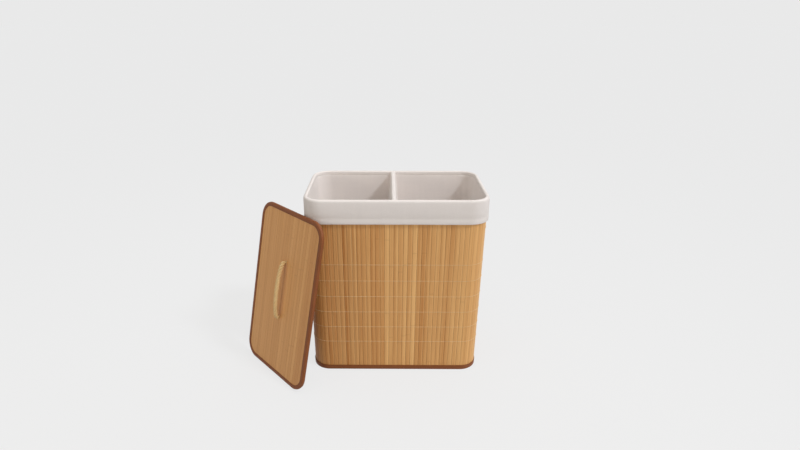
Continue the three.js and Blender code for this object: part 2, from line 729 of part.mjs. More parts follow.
// The lid, drawn lying flat: x across its depth, y along its length from the lower edge, z out of
// its upper face
function lid() {
  const group = new THREE.Group();
  const ringAt = (inset, z) =>
    roundedRing(
      { left: inset - lidDepth / 2, right: lidDepth / 2 - inset, front: inset, back: lidLength - inset },
      Array(4).fill(lidCornerRadius - inset),
      z,
    );
  const edgeInset = lidBindingThickness + clearance;
  const liningLow = lidBindingLip + clearance;
  const boardLow = liningLow + lidLiningThickness + clearance;
  const slatLow = boardLow + lidBoardThickness + clearance;
  const slatHigh = lidThickness - lidBindingLip - clearance;
  const binding = hoop(
    [
      [0, lidBindingLip],
      [0, lidThickness - lidBindingLip],
      [lidBindingLip, lidThickness],
      [lidBindingReach, lidThickness],
      [lidBindingReach, lidThickness - lidBindingLip],
      [lidBindingThickness, lidThickness - lidBindingLip],
      [lidBindingThickness, lidBindingLip],
      [lidBindingReach, lidBindingLip],
      [lidBindingReach, 0],
      [lidBindingLip, 0],
    ],
    ringAt,
  );
  group.add(mesh("lid_binding", binding, finish.binding));

  const out = new THREE.Vector3(0, 0, 1);
  const inward = out.clone().negate();
  const holes = ["lower", "upper"].map((end) => {
    const fromMiddle = lidHandleShift + ((end === "upper" ? 1 : -1) * lidHandleSpan) / 2;
    return { end, face: new THREE.Vector3(0, lidLength / 2 + fromMiddle, slatHigh) };
  });
  const holeTools = holes.map(({ face }) =>
    bar(
      face.clone().addScaledVector(out, overrun),
      face.clone().addScaledVector(inward, lidThickness + overrun),
      lidRopeRadius + clearance,
    ),
  );
  const lining = skin([ringAt(edgeInset, liningLow), ringAt(edgeInset, liningLow + lidLiningThickness)]);
  group.add(mesh("lid_lining", cut(lining, ...holeTools), finish.backing));
  const board = skin([ringAt(edgeInset, boardLow), ringAt(edgeInset, boardLow + lidBoardThickness)]);
  group.add(mesh("lid_board", cut(board, ...holeTools), finish.board));

  // Slats side by side across the depth, then trimmed to the lid's outline
  const slatSpan = lidDepth - 2 * edgeInset;
  const count = Math.round(slatSpan / slatPitch);
  const sectionAt = (y) =>
    slatOutline(count, slatSpan, lidGrooveDepth, slatHigh - slatLow, false, (share, depth) =>
      new THREE.Vector3((share - 0.5) * slatSpan, y, slatHigh - depth),
    );
  const sheet = toSolid(skin([sectionAt(0), sectionAt(lidLength)]));
  const outline = toSolid(
    skin([ringAt(edgeInset, slatLow - overrun), ringAt(edgeInset, slatHigh + overrun)]),
  );
  group.add(mesh("lid_slats", cut(toGeometry(sheet.intersect(outline)), ...holeTools), finish.lidBamboo));

  const washerStart = slatHigh - liningLow + clearance;
  const knotStart = washerStart + washerThickness + clearance;
  const ends = [];
  for (const { end, face } of holes) {
    group.add(mesh(`lid_${end}_knot`, ropeEnd(face, inward, lidRopeRadius, knotStart), finish.rope));
    group.add(
      mesh(
        `lid_${end}_washer`,
        washer(face, inward, washerStart, lidRopeRadius + clearance),
        finish.moulding,
      ),
    );
    ends.push(face.clone().addScaledVector(out, stubProud + clearance + lidRopeRadius));
  }
  const rise = out.clone().multiplyScalar(lidHandleRise);
  const across = ends[1].clone().sub(ends[0]).cross(rise).normalize();
  const arch = tube(archPoints(ends[0], ends[1], rise), across, lidRopeRadius, true);
  group.add(mesh("lid_handle_rope", arch, finish.rope));

  // It stands on its lower edge, turned and tilted until its back meets the hamper's corner
  const outFlat = new THREE.Vector3(-Math.cos(lidTurn), -Math.sin(lidTurn), 0);
  const alongEdge = new THREE.Vector3(-Math.sin(lidTurn), Math.cos(lidTurn), 0);
  const upLid = new THREE.Vector3(0, 0, Math.cos(lidTilt)).addScaledVector(outFlat, -Math.sin(lidTilt));
  const normal = new THREE.Vector3(0, 0, Math.sin(lidTilt)).addScaledVector(outFlat, Math.cos(lidTilt));
  const meetHeight = Math.min((lidLength - lidBindingLip) * Math.cos(lidTilt), overallHeight);
  const half = wallAt(meetHeight);
  const corner = new THREE.Vector3(cornerRadius - half.x, cornerRadius - half.y, 0);
  const skirt = meetHeight > cuffLow ? -skirtOuter : 0;
  const reach = corner.dot(outFlat) + cornerRadius + skirt;
  const standOff = reach + clearance + meetHeight * Math.tan(lidTilt);
  group.position
    .addScaledVector(outFlat, standOff)
    .addScaledVector(alongEdge, lidDepth / 2 - lidSlideAlong);
  group.quaternion.setFromRotationMatrix(
    new THREE.Matrix4().makeBasis(alongEdge.clone().negate(), upLid, normal),
  );
  return group;
}

const hamper = new THREE.Group();
hamper.add(curtain(), frame(), liner(), sideHandleParts(), lid());

export default hamper;
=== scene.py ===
"""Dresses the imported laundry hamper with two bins: a curtain of bamboo slats, brown bindings, a cotton
liner with two bags, rope handles, and the slatted lid that leans on its front left corner.
Metres, +Z up, +Y to the back. The origin is the middle of the base, on the floor."""

import math
import random

import bmesh
import bpy
from mathutils import Matrix, Quaternion, Vector, noise


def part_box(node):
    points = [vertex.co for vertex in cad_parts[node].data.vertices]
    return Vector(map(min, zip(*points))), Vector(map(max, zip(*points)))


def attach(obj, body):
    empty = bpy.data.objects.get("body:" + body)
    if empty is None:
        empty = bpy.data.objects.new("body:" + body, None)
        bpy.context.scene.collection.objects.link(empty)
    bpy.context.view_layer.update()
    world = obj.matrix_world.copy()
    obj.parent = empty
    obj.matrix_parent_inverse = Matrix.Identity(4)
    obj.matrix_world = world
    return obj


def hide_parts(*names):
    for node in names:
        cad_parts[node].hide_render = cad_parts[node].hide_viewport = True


bl_info = {
    "name": "Laundry hamper with two bins",
    "version": (1, 0, 0),
    "blender": (4, 5, 0),
    "location": "View3D > Sidebar > Hamper",
    "description": "Models the slats, bindings, liner, ropes, lid and stage of a laundry hamper",
    "category": "Object",
}

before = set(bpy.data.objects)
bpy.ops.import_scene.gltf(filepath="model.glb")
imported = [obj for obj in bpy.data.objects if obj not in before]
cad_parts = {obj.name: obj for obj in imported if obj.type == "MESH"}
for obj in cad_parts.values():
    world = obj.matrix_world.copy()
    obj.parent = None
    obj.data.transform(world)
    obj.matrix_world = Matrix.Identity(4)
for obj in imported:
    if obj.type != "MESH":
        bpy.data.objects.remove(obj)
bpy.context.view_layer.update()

# The hamper's outline over the slats: it widens from the floor to the top
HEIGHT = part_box("liner_cuff")[1].z
BASE_HALF = (0.287, 0.170)
TOP_HALF = (0.2925, 0.174)
CORNER = 0.058
WALLS = ("front", "right", "back", "left")
CORNERS = ("front_right", "back_right", "back_left", "front_left")

# The slat curtain. Insets count inwards from the outer face of its slats, which are numbered
# anticlockwise from the left end of the front wall
SLATS_PER_CORNER = 6
CURTAIN_SLATS = 116
# The slat where the curtain's painted light peaks; its painted shade is deepest opposite, on the left wall
PAINTED_LIGHT_SLAT = 42
SLAT_LOW, SLAT_HIGH = (corner.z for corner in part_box("front_slats"))
SLAT_THICKNESS = 0.0026
SLAT_PROUD = (-0.00012, 0.00022)
BACKING_INSETS = (0.0029, 0.0035)
BASE_CLOTH_INSET = 0.0143

# The bindings: BINDING_RUN is how far apart their sections stand on straight runs, BINDING_TURNS how
# many there are round a corner, and RIM_SKIN the thickness of the leatherette
BINDING_RUN = 0.05
BINDING_TURNS = 24
RIM_LOW, RIM_HIGH = (corner.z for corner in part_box("rim_binding"))
RIM_SKIN = 0.0009
BASE_TRIM_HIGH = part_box("base_binding")[1].z + 0.0025
BASE_SOLE_INSET = 0.014

# The liner: its cuff, its two bags and the divider between them. Above CUFF_STILL from the top the
# cuff doesn't ripple
CLOTH = 0.0015
CUFF_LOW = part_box("liner_cuff")[0].z
CUFF_OUTER = -0.005
CUFF_INNER = 0.0069
CUFF_STILL = 0.012
CUFF_WAVE = 0.0009
BAG_LOW, BAG_HIGH = (corner.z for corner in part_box("left_bag_wall"))
BAG_TOP = 0.617
BAG_INSET = 0.0068
BAG_TAPER = 0.022
BAG_FOOT = 0.014
BAG_PARTING = 0.0125
BAG_LEVELS = 34
BAG_CUTS = (16, 14)
BAG_FLOOR_RINGS = (0.012, 0.042, 0.072)
DIVIDER_X = -0.008
DIVIDER_HALF = 0.0075
DIVIDER_SEAM_DROP = 0.012
DIVIDER_STEPS = 34
DIVIDER_FOLD = 0.0058
DIVIDER_FLARE = 0.35
DIVIDER_FLARE_LENGTH = 0.022

# The lid, drawn lying flat: x across it, y up its length from the lower edge, z out of its face
LID_HALF = (0.178, 0.291)
LID_CORNER = 0.056
LID_THICKNESS = 0.012
LID_BACK = 0.0078
LID_FACE = 0.0107
LID_INSET = 0.0016
LID_SLAT_GAP = 0.0003
LID_SLAT_EASE = 0.0003
LID_LINING = (0.0013, 0.0021)
LID_LIP = 0.0011
LID_LIP_REACH = 0.0145
LID_TILT = math.radians(12.3)
LID_TURN = math.radians(41.7)
LID_FOOT = Vector((-0.423309, -0.184290, 0.0))

# The rope handles and their knots; SIDE_HOLE is half the way between a loop's two holes
LID_HOLES = (0.209, 0.405)
LID_ROPE = 0.0074
LID_PIVOT = 0.0182
LID_RISE = 0.016
LID_KNOT_START = 0.0112
SIDE_ROPE = 0.005
SIDE_HOLE = 0.045
SIDE_HOLE_HEIGHT = 0.520
SIDE_DROP = 0.044
SIDE_LEAN = math.radians(15.0)
SIDE_KNOT_START = 0.0053
ROPE_STUB = 0.0005
ROPE_PROUD = 0.0002
ROPE_STRANDS = 3
STRAND_SIDES = 8
ARCH_STEPS = 88
KNOT_STEPS = 60
KNOT_ROPE = 0.0029
KNOT_LAY = 0.012
KNOT_DEPTH = 0.0045
KNOT_REACH = 0.31
KNOT_WAVE = 0.0016

# Seams: a stitch's pitch in stitch lengths, and the radii of the two sewing threads
STITCH_PITCH = 1.28
BINDING_THREAD = 0.00035
LINER_THREAD = 0.0004

# The stage: how brightly the floor and the background glow, how much of the floor's look is that
# glow, and the room's light with what it gains towards one side
FLOOR_GLOW = 1.02
FLOOR_GLOW_SHARE = 0.86
BACK_GLOW = 0.972
ROOM_LIGHT = 0.34
ROOM_GAIN = 0.14
ROOM_SIDE = (0.85, -0.35, 0.4)
ROOM_TINT = (1.03, 1.0, 0.95, 1.0)

# Edges that turn by more than this are shaded sharp
RIGID_FLATS = math.radians(38)
BINDING_FLATS = math.radians(50)
CLOTH_FLATS = math.radians(60)


def paint(red, green, blue):
    """A colour as seen on screen, 0 to 255, as the linear values that Blender keeps."""
    def open_up(value):
        value /= 255
        return value / 12.92 if value <= 0.04045 else ((value + 0.055) / 1.055) ** 2.4
    return (open_up(red), open_up(green), open_up(blue))


def length(name, description, default, low, high):
    return bpy.props.FloatProperty(
        name=name, description=description, default=default, min=low, max=high, unit="LENGTH"
    )


def colour(name, description, red, green, blue):
    return bpy.props.FloatVectorProperty(
        name=name, description=description, default=paint(red, green, blue), min=0, max=1, subtype="COLOR"
    )


class HamperSizes(bpy.types.PropertyGroup):
    """Sizes of the hamper's details."""

    slat_pitch: length("Slat pitch", "Width of one slat with its gap", 0.015, 0.006, 0.03)
    slat_gap: length("Slat gap", "Gap between two slats of the curtain", 0.0003, 0.0001, 0.003)
    slat_ease: length("Slat edge", "How far a slat's outer edges are rounded", 0.0004, 0.0001, 0.001)
    first_row: length("Lowest thread", "Height of the lowest thread row over the floor", 0.1155, 0.02, 0.2)
    row_pitch: length("Thread spacing", "Height from one thread row to the next", 0.0586, 0.02, 0.2)
    rows: bpy.props.IntProperty(
        name="Thread rows", description="How many thread rows hold the slats", default=6, min=1, max=12
    )
    thread: length("Thread", "Radius of the thread that holds the slats", 0.0006, 0.0002, 0.002)
    hem: length("Hem", "Height of the hem along the cuff's lower edge", 0.020, 0.008, 0.03)
    ripple: length("Cuff ripple", "How far the cuff's cloth stands off here and there", 0.0013, 0.0, 0.004)
    fold: length("Bag folds", "Depth of the folds in the hanging bags", 0.006, 0.0, 0.01)
    stitch: length("Stitch", "Length of one stitch", 0.0036, 0.002, 0.008)
    rope_lay: bpy.props.FloatProperty(
        name="Rope lay", description="Length over which a rope's strands go round once, in diameters",
        default=2.3, min=1.5, max=6.0,
    )


class HamperColours(bpy.types.PropertyGroup):
    """Colours of the hamper's finishes."""

    bamboo_light: colour("Light bamboo", "The palest slats of the curtain", 249, 197, 129)
    bamboo_dark: colour("Dark bamboo", "The darkest slats of the curtain", 178, 107, 40)
    lid_light: colour("Light lid bamboo", "The palest slats of the lid", 241, 184, 119)
    lid_dark: colour("Dark lid bamboo", "The darkest slats of the lid", 205, 143, 83)
    leather: colour("Binding", "The brown leatherette of the bindings", 139, 79, 38)
    cloth: colour("Liner", "The cotton cloth of the liner", 243, 234, 228)
    thread: colour("Thread", "The thread that holds the slats", 246, 214, 166)
    seam: colour("Liner stitches", "The sewing thread of the liner", 236, 230, 222)
    rope: colour("Rope", "The jute rope of the handles", 255, 222, 162)
    # The backing's brown is partly its own colour, partly painted shade for the gaps between the slats
    backing: colour("Backing", "The cloth glued behind the curtain's slats", 178, 128, 78)
    lining: colour("Lining", "The cloth inside the lid and under the base", 206, 184, 150)
    floor: colour("Floor", "The pale floor and background", 236, 236, 236)


class Socket:
    """A socket in a material, so that its maths reads as Python expressions."""

    def __init__(self, tree, socket=None):
        self.tree = tree
        self.socket = socket

    def node(self, kind, settings=None, inputs=None, output=0):
        """Adds a node: its settings first, then its inputs' values or links. Gives one output."""
        made = self.tree.nodes.new(kind)
        for key, value in (settings or {}).items():
            if key == "stops":
                while len(made.color_ramp.elements) < len(value):
                    made.color_ramp.elements.new(1.0)
                for element, (position, shade) in zip(made.color_ramp.elements, value):
                    element.position = position
                    element.color = shade
            else:
                setattr(made, key, value)
        for key, value in (inputs or {}).items():
            if isinstance(value, Socket):
                self.tree.links.new(value.socket, made.inputs[key])
            else:
                made.inputs[key].default_value = value
        return Socket(self.tree, made.outputs[output] if made.outputs else None)

    def maths(self, operation, *values):
        return self.node("ShaderNodeMath", {"operation": operation}, dict(enumerate(values)))

    def __add__(self, other):
        return self.maths("ADD", self, other)

    __radd__ = __add__

    def __sub__(self, other):
        return self.maths("SUBTRACT", self, other)

    def __rsub__(self, other):
        return self.maths("SUBTRACT", other, self)

    def __mul__(self, other):
        return self.maths("MULTIPLY", self, other)

    __rmul__ = __mul__

    def __gt__(self, other):
        return self.maths("GREATER_THAN", self, other)

    def blend(self, first, second, factor):
        """Mixes two colours."""
        return self.node(
            "ShaderNodeMix",
            {"data_type": "RGBA", "clamp_factor": True},
            {0: factor, 6: first, 7: second},
            output=2,
        )

    def split(self, vector):
        """The three values of a vector."""
        first = self.node("ShaderNodeSeparateXYZ", {}, {0: vector})
        return [Socket(self.tree, value) for value in first.socket.node.outputs]

    def point(self, x, y, z=0.0):
        return self.node("ShaderNodeCombineXYZ", {}, {0: x, 1: y, 2: z})

    def place(self, kind):
        """The spot that is shaded: Object or UV on a piece, or Generated, a direction, for the world."""
        return self.node("ShaderNodeTexCoord", output=kind)

    def cloud(self, where, scale, detail=2.0, roughness=0.5):
        """Soft noise, from 0 to 1."""
        return self.node(
            "ShaderNodeTexNoise",
            {"noise_dimensions": "3D"},
            {"Vector": where, "Scale": scale, "Detail": detail, "Roughness": roughness},
        )

    def chance(self, value):
        """A random number for each whole value."""
        return self.node("ShaderNodeTexWhiteNoise", {"noise_dimensions": "1D"}, {"W": value})

    def span(self, value, low, high, to_low, to_high):
        """Maps a range of values onto another, held at its ends."""
        return self.node(
            "ShaderNodeMapRange",
            {"clamp": True},
            {0: value, 1: low, 2: high, 3: to_low, 4: to_high},
        )


def opaque(shade):
    return (*shade, 1.0)


def shaded(shade, share):
    """An opaque colour that is darker or lighter by a share."""
    return opaque(tuple(min(1.0, value * share) for value in shade))


def new_finish(name):
    """An empty material and a socket to build its nodes from."""
    material = bpy.data.materials.new(name)
    material.use_nodes = True
    material.node_tree.nodes.clear()
    return material, Socket(material.node_tree)


def close_finish(build, height, depth, strength, **shader):
    """Ends a material: a Principled shader whose Normal comes from a bump height, in metres."""
    bump = build.node(
        "ShaderNodeBump", {}, {"Strength": strength, "Distance": depth, "Height": height}
    )
    inputs = {key.replace("_", " "): value for key, value in shader.items()}
    surface = build.node("ShaderNodeBsdfPrincipled", {}, {**inputs, "Normal": bump})
    build.node("ShaderNodeOutputMaterial", {}, {"Surface": surface})


def bamboo_finish(name, light, dark, painted_edge_shade_and_highlight, painted_light_drift):
    """Bamboo slats. Painted light and shade may rise and fall once round the curtain, lighter on the right
    wall and darker on the left; each slat's edges carry painted shade for the gaps between slats, and
    some a painted highlight. The UV's x counts slats and its y is metres along them."""
    material, build = new_finish(name)
    across, up, _ = build.split(build.place("UV"))
    slat = build.maths("FLOOR", across)
    tone = build.chance(slat)
    other = build.chance(slat + 41.7)
    place = build.maths("FRACT", across)
    fibres = build.cloud(build.point(across * 26.0, up * 14.0, tone * 60.0), 1.0, 3.0, 0.6)
    streaks = build.cloud(build.point(across * 2.7, up * 3.1, other * 40.0), 1.0, 2.0, 0.55)
    thirds = build.chance(build.maths("FLOOR", across * 3.0 + 0.5) + 0.3)
    bundle = build.cloud(build.point(slat * 0.37, 2.7), 1.0, 1.0)
    # Painted light and shade: the tone rises and falls once round the curtain, lighter right, darker left
    turn = build.maths("COSINE", (slat - PAINTED_LIGHT_SLAT) * (2 * math.pi / CURTAIN_SLATS))
    mix = tone * 0.32 + thirds * 0.16 + build.span(bundle, 0.3, 0.7, -0.03, 0.35) + turn * painted_light_drift
    mix = mix + build.span(streaks, 0.3, 0.7, -0.05, 0.22) + build.span(fibres, 0.3, 0.7, -0.08, 0.16)
    toned = build.blend(opaque(dark), opaque(light), mix)
    warm = build.blend(toned, opaque(paint(218, 160, 98)), other * 0.22)
    knuckle_place = build.maths("FRACT", up * 3.7 + other * 7.0)
    knuckle = build.span(build.maths("ABSOLUTE", knuckle_place - 0.5), 0.0, 0.011, 1.0, 0.0)
    knuckle = knuckle * (other > 0.6)
    ringed = build.blend(warm, opaque(paint(150, 98, 52)), knuckle * 0.2)
    # Painted highlight: a pale line beside one edge of some slats, as if that rounded edge caught the light
    painted_edge_highlight = build.span(place, 0.74, 0.84, 0.0, 0.55) * build.span(place, 0.88, 0.95, 1.0, 0.0)
    edge_highlighted = build.blend(ringed, opaque(light), painted_edge_highlight * other * painted_edge_shade_and_highlight * 2.0)
    # Painted shade: each slat darkens towards both edges, standing for the shadow in the gaps between slats
    edge = build.span(build.maths("ABSOLUTE", place - 0.5), 0.42, 0.5, 0.0, painted_edge_shade_and_highlight)
    gap_shaded = build.blend(edge_highlighted, opaque(paint(106, 48, 12)), edge)
    close_finish(
        build, fibres * 0.8 + knuckle * 1.4, 0.00004, 0.5,
        Base_Color=gap_shaded,
        Roughness=build.span(fibres, 0.2, 0.8, 0.42, 0.58),
        Specular_IOR_Level=0.3,
        Coat_Weight=0.06,
        Coat_Roughness=0.35,
    )
    return material


def leather_finish(name, brown):
    """Leatherette with a fine pebbled grain."""
    material, build = new_finish(name)
    where = build.place("Object")
    pebbles = build.node(
        "ShaderNodeTexVoronoi", {"feature": "DISTANCE_TO_EDGE"}, {"Vector": where, "Scale": 720.0}
    )
    creases = build.cloud(where, 55.0, 4.0, 0.6)
    broad = build.cloud(where, 9.0, 2.0)
    deep = build.blend(shaded(brown, 0.62), opaque(brown), build.span(pebbles, 0.0, 0.1, 0, 1))
    worn = build.blend(deep, shaded(brown, 1.28), build.span(broad, 0.4, 0.75, 0.0, 0.5))
    height = build.span(pebbles, 0.0, 0.16, 0.0, 1.0) + creases * 0.7
    close_finish(
        build, height, 0.00006, 0.5,
        Base_Color=worn,
        Roughness=build.span(creases, 0.3, 0.7, 0.42, 0.6),
        Specular_IOR_Level=0.3,
    )
    return material


def cloth_finish(name, dyed, weave, depth, slub):
    """Plain-woven cloth. The UV is in metres; weave is the pitch of its threads."""
    material, build = new_finish(name)
    across, up, _ = build.split(build.place("UV"))
    turn = 2 * math.pi / weave
    warp = build.maths("SINE", across * turn)
    weft = build.maths("SINE", up * turn)
    over = build.maths("SINE", across * (turn / 2)) * build.maths("SINE", up * (turn / 2)) > 0.0
    threads = over * (0.5 * warp + 0.5) + (1 - over) * (0.5 * weft + 0.5)
    level = build.cloud(build.point(across * 6.0, up * 90.0), 1.0, 2.0)
    upright = build.cloud(build.point(across * 90.0, up * 6.0), 1.0, 2.0)
    slubs = build.span(level + upright, 0.75, 1.3, 0.0, slub)
    soil = build.cloud(build.point(across * 5.0, up * 5.0), 1.0, 3.0)
    mix = build.span(threads, 0.0, 1.0, 0.3, 1.0) - slubs - build.span(soil, 0.45, 0.75, 0.0, 0.14)
    close_finish(
        build, threads + slubs * 2.0, depth, 0.5,
        Base_Color=build.blend(shaded(dyed, 0.86), opaque(dyed), mix),
        Roughness=build.span(soil, 0.3, 0.7, 0.86, 0.96),
        Sheen_Weight=0.25,
        Sheen_Roughness=0.5,
        Specular_IOR_Level=0.2,
    )
    return material


def grained_finish(name, shades, grain, tone, rough, bump, **shader):
    """A plain stuff between two shades. grain and tone are noises: its roughness and bump follow the
    grain, and its shade follows the tone, or the grain if it has none."""
    material, build = new_finish(name)
    where = build.place("Object")
    fine = build.cloud(where, *grain)
    mix = build.cloud(where, *tone) if tone else build.span(fine, 0.35, 0.6, 0, 1)
    close_finish(
        build, fine, *bump,
        Base_Color=build.blend(*map(opaque, shades), mix),
        Roughness=build.span(fine, 0.3, 0.7, *rough),
        **shader,
    )
    return material


def thread_finish(name, dyed):
    """Spun sewing thread."""
    shades = (tuple(value * 0.72 for value in dyed), dyed)
    return grained_finish(
        name, shades, (1400.0, 3.0, 0.7), None, (0.7, 0.9), (0.0002, 0.6), Specular_IOR_Level=0.25
    )


def rope_finish(name, jute):
    """Jute strands. The UV's x is metres along a strand and its y goes once round it."""
    material, build = new_finish(name)
    along, round_it, _ = build.split(build.place("UV"))
    where = build.place("Object")
    yarn = build.cloud(build.point(along * 170.0 + round_it * 9.0, round_it * 14.0), 1.0, 3.0, 0.7)
    fuzz = build.cloud(where, 900.0, 3.0, 0.75)
    patch = build.cloud(where, 42.0, 2.0)
    tone = build.span(yarn, 0.3, 0.62, 0.1, 0.85) + build.span(fuzz, 0.35, 0.65, -0.1, 0.3)
    toned = build.blend(shaded(jute, 0.56), opaque(jute), tone)
    close_finish(
        build, yarn + fuzz * 0.6, 0.0006, 0.8,
        Base_Color=build.blend(toned, opaque(paint(214, 162, 104)), build.span(patch, 0.4, 0.75, 0.0, 0.25)),
        Roughness=build.span(fuzz, 0.3, 0.7, 0.8, 0.96),
        Sheen_Weight=0.05,
        Specular_IOR_Level=0.2,
    )
    return material


def board_finish(name, brown):
    """Pressed fibreboard, flecked with lighter and darker chips."""
    material, build = new_finish(name)
    where = build.place("Object")
    chips = build.cloud(where, 260.0, 4.0, 0.7)
    broad = build.cloud(where, 12.0, 2.0)
    stops = [(0.32, shaded(brown, 0.6)), (0.5, opaque(brown)), (0.68, shaded(brown, 1.35))]
    flecked = build.node("ShaderNodeValToRGB", {"stops": stops}, {0: chips})
    close_finish(
        build, chips, 0.0002, 0.5,
        Base_Color=build.blend(flecked, shaded(brown, 0.8), build.span(broad, 0.4, 0.7, 0, 0.5)),
        Roughness=build.span(chips, 0.3, 0.7, 0.66, 0.84),
    )
    return material


def steel_finish(name):
    """Drawn steel wire, faintly scratched."""
    shades = (paint(150, 150, 148), paint(192, 192, 188))
    return grained_finish(
        name, shades, (500.0, 3.0, 0.6), (24.0, 2.0), (0.28, 0.46), (0.00004, 0.5), Metallic=0.95
    )


def moulded_finish(name):
    """Dark moulded plastic with a fine spark grain."""
    shades = (paint(40, 39, 37), paint(58, 56, 53))
    return grained_finish(name, shades, (1100.0, 2.0), (30.0, 2.0), (0.42, 0.6), (0.00008, 0.5))


def tape_finish(name, dyed, bristle):
    """Fastening tape: a dense pile of loops or hooks."""
    material, build = new_finish(name)
    where = build.place("Object")
    pile = build.node("ShaderNodeTexVoronoi", {}, {"Vector": where, "Scale": bristle})
    lint = build.cloud(where, 300.0, 3.0, 0.7)
    close_finish(
        build, 1 - pile + lint * 0.3, 0.0006, 0.8,
        Base_Color=build.blend(opaque(dyed), shaded(dyed, 0.68), build.span(pile, 0.1, 0.6, 0, 1)),
        Roughness=build.span(lint, 0.3, 0.7, 0.82, 0.95),
        Sheen_Weight=0.3,
    )
    return material


def finish(name):
    """A finish by its name, made once."""
    made = bpy.data.materials.get(name)
    if made:
        return made
    colours = bpy.context.scene.hamper_colours
    makers = {
        "curtain bamboo": lambda: bamboo_finish(name, colours.bamboo_light, colours.bamboo_dark, 0.36, 0.3),
        "lid bamboo": lambda: bamboo_finish(name, colours.lid_light, colours.lid_dark, 0.1, 0.0),
        "leatherette": lambda: leather_finish(name, colours.leather),
        "liner cloth": lambda: cloth_finish(name, colours.cloth, 0.0011, 0.00016, 0.16),
        "backing cloth": lambda: cloth_finish(name, colours.backing, 0.0016, 0.0003, 0.3),
        "lining cloth": lambda: cloth_finish(name, colours.lining, 0.0016, 0.0003, 0.3),
        "slat thread": lambda: thread_finish(name, colours.thread),
        "liner thread": lambda: thread_finish(name, colours.seam),
        "binding thread": lambda: thread_finish(name, tuple(value * 0.7 for value in colours.leather)),
        "jute rope": lambda: rope_finish(name, colours.rope),
        "fibreboard": lambda: board_finish(name, paint(184, 146, 100)),
        "drawn steel": lambda: steel_finish(name),
        "moulded plastic": lambda: moulded_finish(name),
        "hook tape": lambda: tape_finish(name, paint(232, 227, 218), 1300.0),
        "loop tape": lambda: tape_finish(name, paint(236, 231, 223), 800.0),
    }
    return makers[name]()


def add_object(name, data):
    """A new object in the scene."""
    made = bpy.data.objects.new(name, data)
    bpy.context.scene.collection.objects.link(made)
    return made


def as_mesh(name, form):
    """Turns a form into a mesh."""
    mesh = bpy.data.meshes.new(name)
    form.to_mesh(mesh)
    form.free()
    return mesh


def add_copies(form, shape, places):
    """Adds a copy of a shape to a form at each place, and clears the shape away."""
    mesh = as_mesh("copied shape", shape)
    for place in places:
        copy = mesh.copy()
        copy.transform(place)
        form.from_mesh(copy)
        bpy.data.meshes.remove(copy)
    bpy.data.meshes.remove(mesh)


def finish_piece(name, form, material, body, nodes=(), flats=None):
    """Turns a form into a piece of the hamper that rides on a body and stands for CAD nodes. Edges
    that turn by more than flats are shaded sharp."""
    mesh = as_mesh(name, form)
    mesh.materials.append(finish(material))
    mesh.polygons.foreach_set("use_smooth", [True] * len(mesh.polygons))
    if flats:
        mesh.set_sharp_from_angle(angle=flats)
    piece = add_object(name, mesh)
    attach(piece, body)
    if nodes:
        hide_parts(*nodes)
    return piece


def dress(nodes, material):
    """Gives CAD nodes that stay a finish of their own."""
    for name in nodes:
        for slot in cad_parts[name].material_slots:
            slot.material = finish(material)


def verts_in(geometry):
    return [item for item in geometry if isinstance(item, bmesh.types.BMVert)]


def edges_in(geometry):
    return [item for item in geometry if isinstance(item, bmesh.types.BMEdge)]


def round_off(form, geom, offset, segments, affect="VERTICES"):
    """Rounds corners or edges."""
    bmesh.ops.bevel(
        form, geom=geom, offset=offset, segments=segments, profile=0.5, affect=affect, material=-1
    )


def lean_point(x, y, z):
    """Where a point of an upright wall lies once the walls lean outwards."""
    moved = []
    for axis, value in enumerate((x, y)):
        straight = BASE_HALF[axis] - CORNER
        out = max(-1.0, min(1.0, value / straight))
        moved.append(value + out * (TOP_HALF[axis] - BASE_HALF[axis]) * z / HEIGHT)
    return Vector((moved[0], moved[1], z))


def lean(form):
    """Leans a form made with upright walls as the hamper's walls lean."""
    for vert in form.verts:
        vert.co = lean_point(*vert.co)


def round_length(half, corner):
    """The way round a rounded rectangle."""
    return 4 * (half[0] + half[1] - 2 * corner) + 2 * math.pi * corner


def point_round(way, inset, half, corner):
    """The point and the outward direction at a distance round a rounded rectangle, from the middle
    of its front edge, anticlockwise."""
    way %= round_length(half, corner)
    straight = (half[0] - corner, half[1] - corner)
    quarter = corner * math.pi / 2
    for turn in range(5):
        reach, off = straight[turn % 2], straight[1 - turn % 2]
        spin = Matrix.Rotation(turn * math.pi / 2, 2)
        if way <= reach:
            out = spin @ Vector((0, -1))
            return spin @ Vector((way, -off - corner)) - out * inset, out
        way -= reach
        if way <= quarter:
            angle = way / corner
            out = spin @ Vector((math.sin(angle), -math.cos(angle)))
            return spin @ Vector((reach, -off)) + out * (corner - inset), out
        way -= quarter + off
        if way <= 0:
            spin = Matrix.Rotation((turn + 1) * math.pi / 2, 2)
            out = spin @ Vector((0, -1))
            return spin @ Vector((way, -reach - corner)) - out * inset, out
    raise ValueError("a point round the outline lies past its end")


def draw_section(form, points):
    """A closed section as a wire at the middle of the front: points are (inset, height, rounding)."""
    verts = [form.verts.new((0, inset, z)) for inset, z, _ in points]
    for first, second in zip(verts, verts[1:] + verts[:1]):
        form.edges.new((first, second))
    for vert, (_, _, rounding) in zip(verts, points):
        if rounding:
            round_off(form, [vert], rounding, 4)
    return list(form.edges)


def push_edges(form, edges, move):
    """Extrudes edges by a move and gives the new ones."""
    made = bmesh.ops.extrude_edge_only(form, edges=edges)["geom"]
    bmesh.ops.translate(form, vec=move, verts=verts_in(made))
    return edges_in(made)


